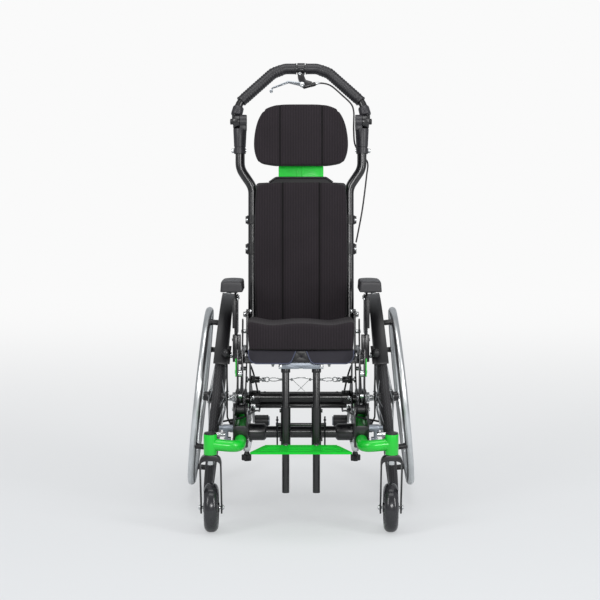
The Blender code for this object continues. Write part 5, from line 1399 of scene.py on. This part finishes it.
# Tilt rollers: turned black acetal rollers with a groove that guides the rocker.
bm = bmesh.new()
roller = [
    (0.0044, 0.1423), (0.0164, 0.1423), (0.0172, 0.1431), (0.0172, 0.145), (0.0166, 0.1458), (0.0125, 0.148),
    (0.0125, 0.166), (0.0166, 0.1682), (0.0172, 0.169), (0.0172, 0.1709), (0.0164, 0.1717), (0.0044, 0.1717),
]
lathe(bm, roller, 56)
axle = BASE @ at(0, *ROLLER)
both("guide_roller_*", bm, BLACK_PLASTIC, "tilt_roller_*", axle, ["tilt_roller_*"])


# Tilt locks: plated spring plungers whose pads clamp the rockers, each pulled by a
# split ring, a long wire link and a bare cable that runs down to the camber tube.
def loop(bm, centre_x, half_long, half_wide, thick):
    turns = [math.tau * k / 40 for k in range(41)]
    tube(bm, [(centre_x + half_long * math.cos(a), 0.0, half_wide * math.sin(a)) for a in turns], thick, 4)


bm = bmesh.new()
lathe(bm, bush(0.0, 0.0085, 0.1457, 0.1487, 0.0005), 40)
xrod(bm, 0.099, 0.1467, 0, 0, 0.0039, 0.0004, 24)
for k in range(3):
    xrod(bm, 0.0975 + 0.0035 * k, 0.1005 + 0.0035 * k, 0, 0, 0.0064, 0.0006, 28)
loop(bm, 0.093, 0.0062, 0.0062, 0.0013)
loop(bm, 0.0745, 0.015, 0.0045, 0.0012)
xrod(bm, 0.05, 0.061, 0, 0, 0.0032, 0.0005, 20)
xrod(bm, 0.028, 0.051, 0, 0, 0.0012, 0.0002, 12)
xrod(bm, 0.0225, 0.0285, 0, 0, 0.0038, 0.0008, 20)
tube(bm, [(0.0235, 0, 0), (0.012, 0.001, -0.012), (-0.01, 0.002, -0.033)], 0.0007, 3)
tube(bm, [(0.0235, 0, 0.001), (0.01, -0.001, 0.004), (-0.009, -0.002, 0.006), (-0.0235, 0, 0.001)], 0.0007, 3)
plunger = BASE @ at(0, *LOCK)
both("lock_plunger_*", bm, BRIGHT_ZINC, "tilt_lock_*", plunger, ["tilt_lock_*"])


# Wheel locks: plated cast arms on the cradle studs with a round boss, a hanging
# finger, a cable barrel on top and a knurled shoe that swings onto the tyre.
bm = bmesh.new()
arm = rounded([(-0.01, 0.006), (-0.006, -0.034), (0.004, -0.036), (0.019, -0.021), (0.01, 0.006)], 0.005)
plate(bm, arm, "YZ", 0.191, 0.1985, 0.0012, (), 3)
boss = [
    (0.0045, 0.1768), (0.0092, 0.1768), (0.0098, 0.1774), (0.0098, 0.203), (0.0088, 0.2046), (0.006, 0.205),
    (0.0045, 0.205),
]
lathe(bm, boss, 40)
xrod(bm, 0.184, 0.196, 0, -0.0285, 0.0055, 0.001, 28)
xrod(bm, 0.196, 0.214, -0.002, 0.002, 0.006, 0.0008, 28)
for k in range(3):
    xrod(bm, 0.206 + 0.0026 * k, 0.2074 + 0.0026 * k, -0.002, 0.002, 0.0064, 0.0003, 28)
lock_arm = BASE @ at(0, -0.205, 0.25)
both("lock_arm_*", bm, GREY_CAST, "wheel_lock_*", lock_arm, ["wheel_lock_*"])
bm = bmesh.new()
shoe = [(0.0, 0.196), (0.0058, 0.196)]
for k in range(17):
    x = 0.1975 + 0.0027 * k
    shoe += [(0.0065, x), (0.0065, x + 0.0013), (0.006, x + 0.0016), (0.006, x + 0.0024)]
lathe(bm, [*shoe, (0.0058, 0.2436), (0.0, 0.2438)], 36, at(0, 0.0115, -0.019))
hex_bolt(bm, (0.1935, -0.002, -0.0285), (0.202, -0.002, -0.0285), 0.004)
both("lock_shoe_*", bm, BRIGHT_ZINC, "wheel_lock_*", lock_arm)


# Foot pedals: flat black arms on the cradle studs with a ribbed rubber tread roll and
# a grey end washer.
pedal = BASE @ at(0, 0.112, 0.235)
bm = bmesh.new()
outline = rounded(
    [(-0.009, -0.008), (0.01, -0.012), (0.124, -0.066), (0.12, -0.048), (0.008, 0.009), (-0.009, 0.008)],
    0.006,
)
plate(bm, outline, "YZ", 0.13, 0.1368, 0.001, [circle_path((0, 0), 0.0045, 28)])
both("pedal_arm_*", bm, BLACK_COAT, "foot_pedal_*", pedal, ["foot_pedal_*"])
bm = bmesh.new()
tread = [(0.0, 0.0925), (0.0165, 0.0925)]
for k in range(9):
    x = 0.0935 + 0.004 * k
    tread += [(0.0172, x), (0.0172, x + 0.0022), (0.0164, x + 0.0026), (0.0164, x + 0.0036)]
tread += [(0.0172, 0.1293), (0.0168, 0.1302), (0.0, 0.1302)]
lathe(bm, tread, 56, at(0, 0.122, -0.058))
both("pedal_roll_*", bm, GRIP_RUBBER, "foot_pedal_*", pedal)
bm = bmesh.new()
xrod(bm, 0.089, 0.0926, 0.122, -0.058, 0.013, 0.0008, 44)
both("pedal_washer_*", bm, GREY_CAST, "foot_pedal_*", pedal)


# Clamp knobs: five-lobed black nylon hand knobs on a plated stud that screws into the
# bracket under each cradle.
spot = BASE @ at(0.144, -0.14, 0.1937)
bm = bmesh.new()
lobes = []
for k in range(80):
    a = math.tau * k / 80
    reach = 0.0117 + 0.0024 * math.cos(5 * a)
    lobes.append((reach * math.cos(a), reach * math.sin(a)))
plate(bm, lobes, "XY", -0.045, -0.029, 0.0022, (), 4)
zrod(bm, -0.029, -0.021, 0, 0, 0.0085, 0.0006, 36, 0.006)
zrod(bm, -0.046, -0.0445, 0, 0, 0.0075, 0.0005)
both("star_knob_*", bm, BLACK_PLASTIC, "clamp_knob_*", spot, ["clamp_knob_*"])
bm = bmesh.new()
zrod(bm, -0.022, 0.0008, 0, 0, 0.0046, 0.0003, 28)
for k in range(7):
    zrod(bm, -0.0206 + 0.003 * k, -0.0191 + 0.003 * k, 0, 0, 0.005, 0.0004, 28)
both("star_knob_stud_*", bm, BRIGHT_ZINC, "clamp_knob_*", spot)
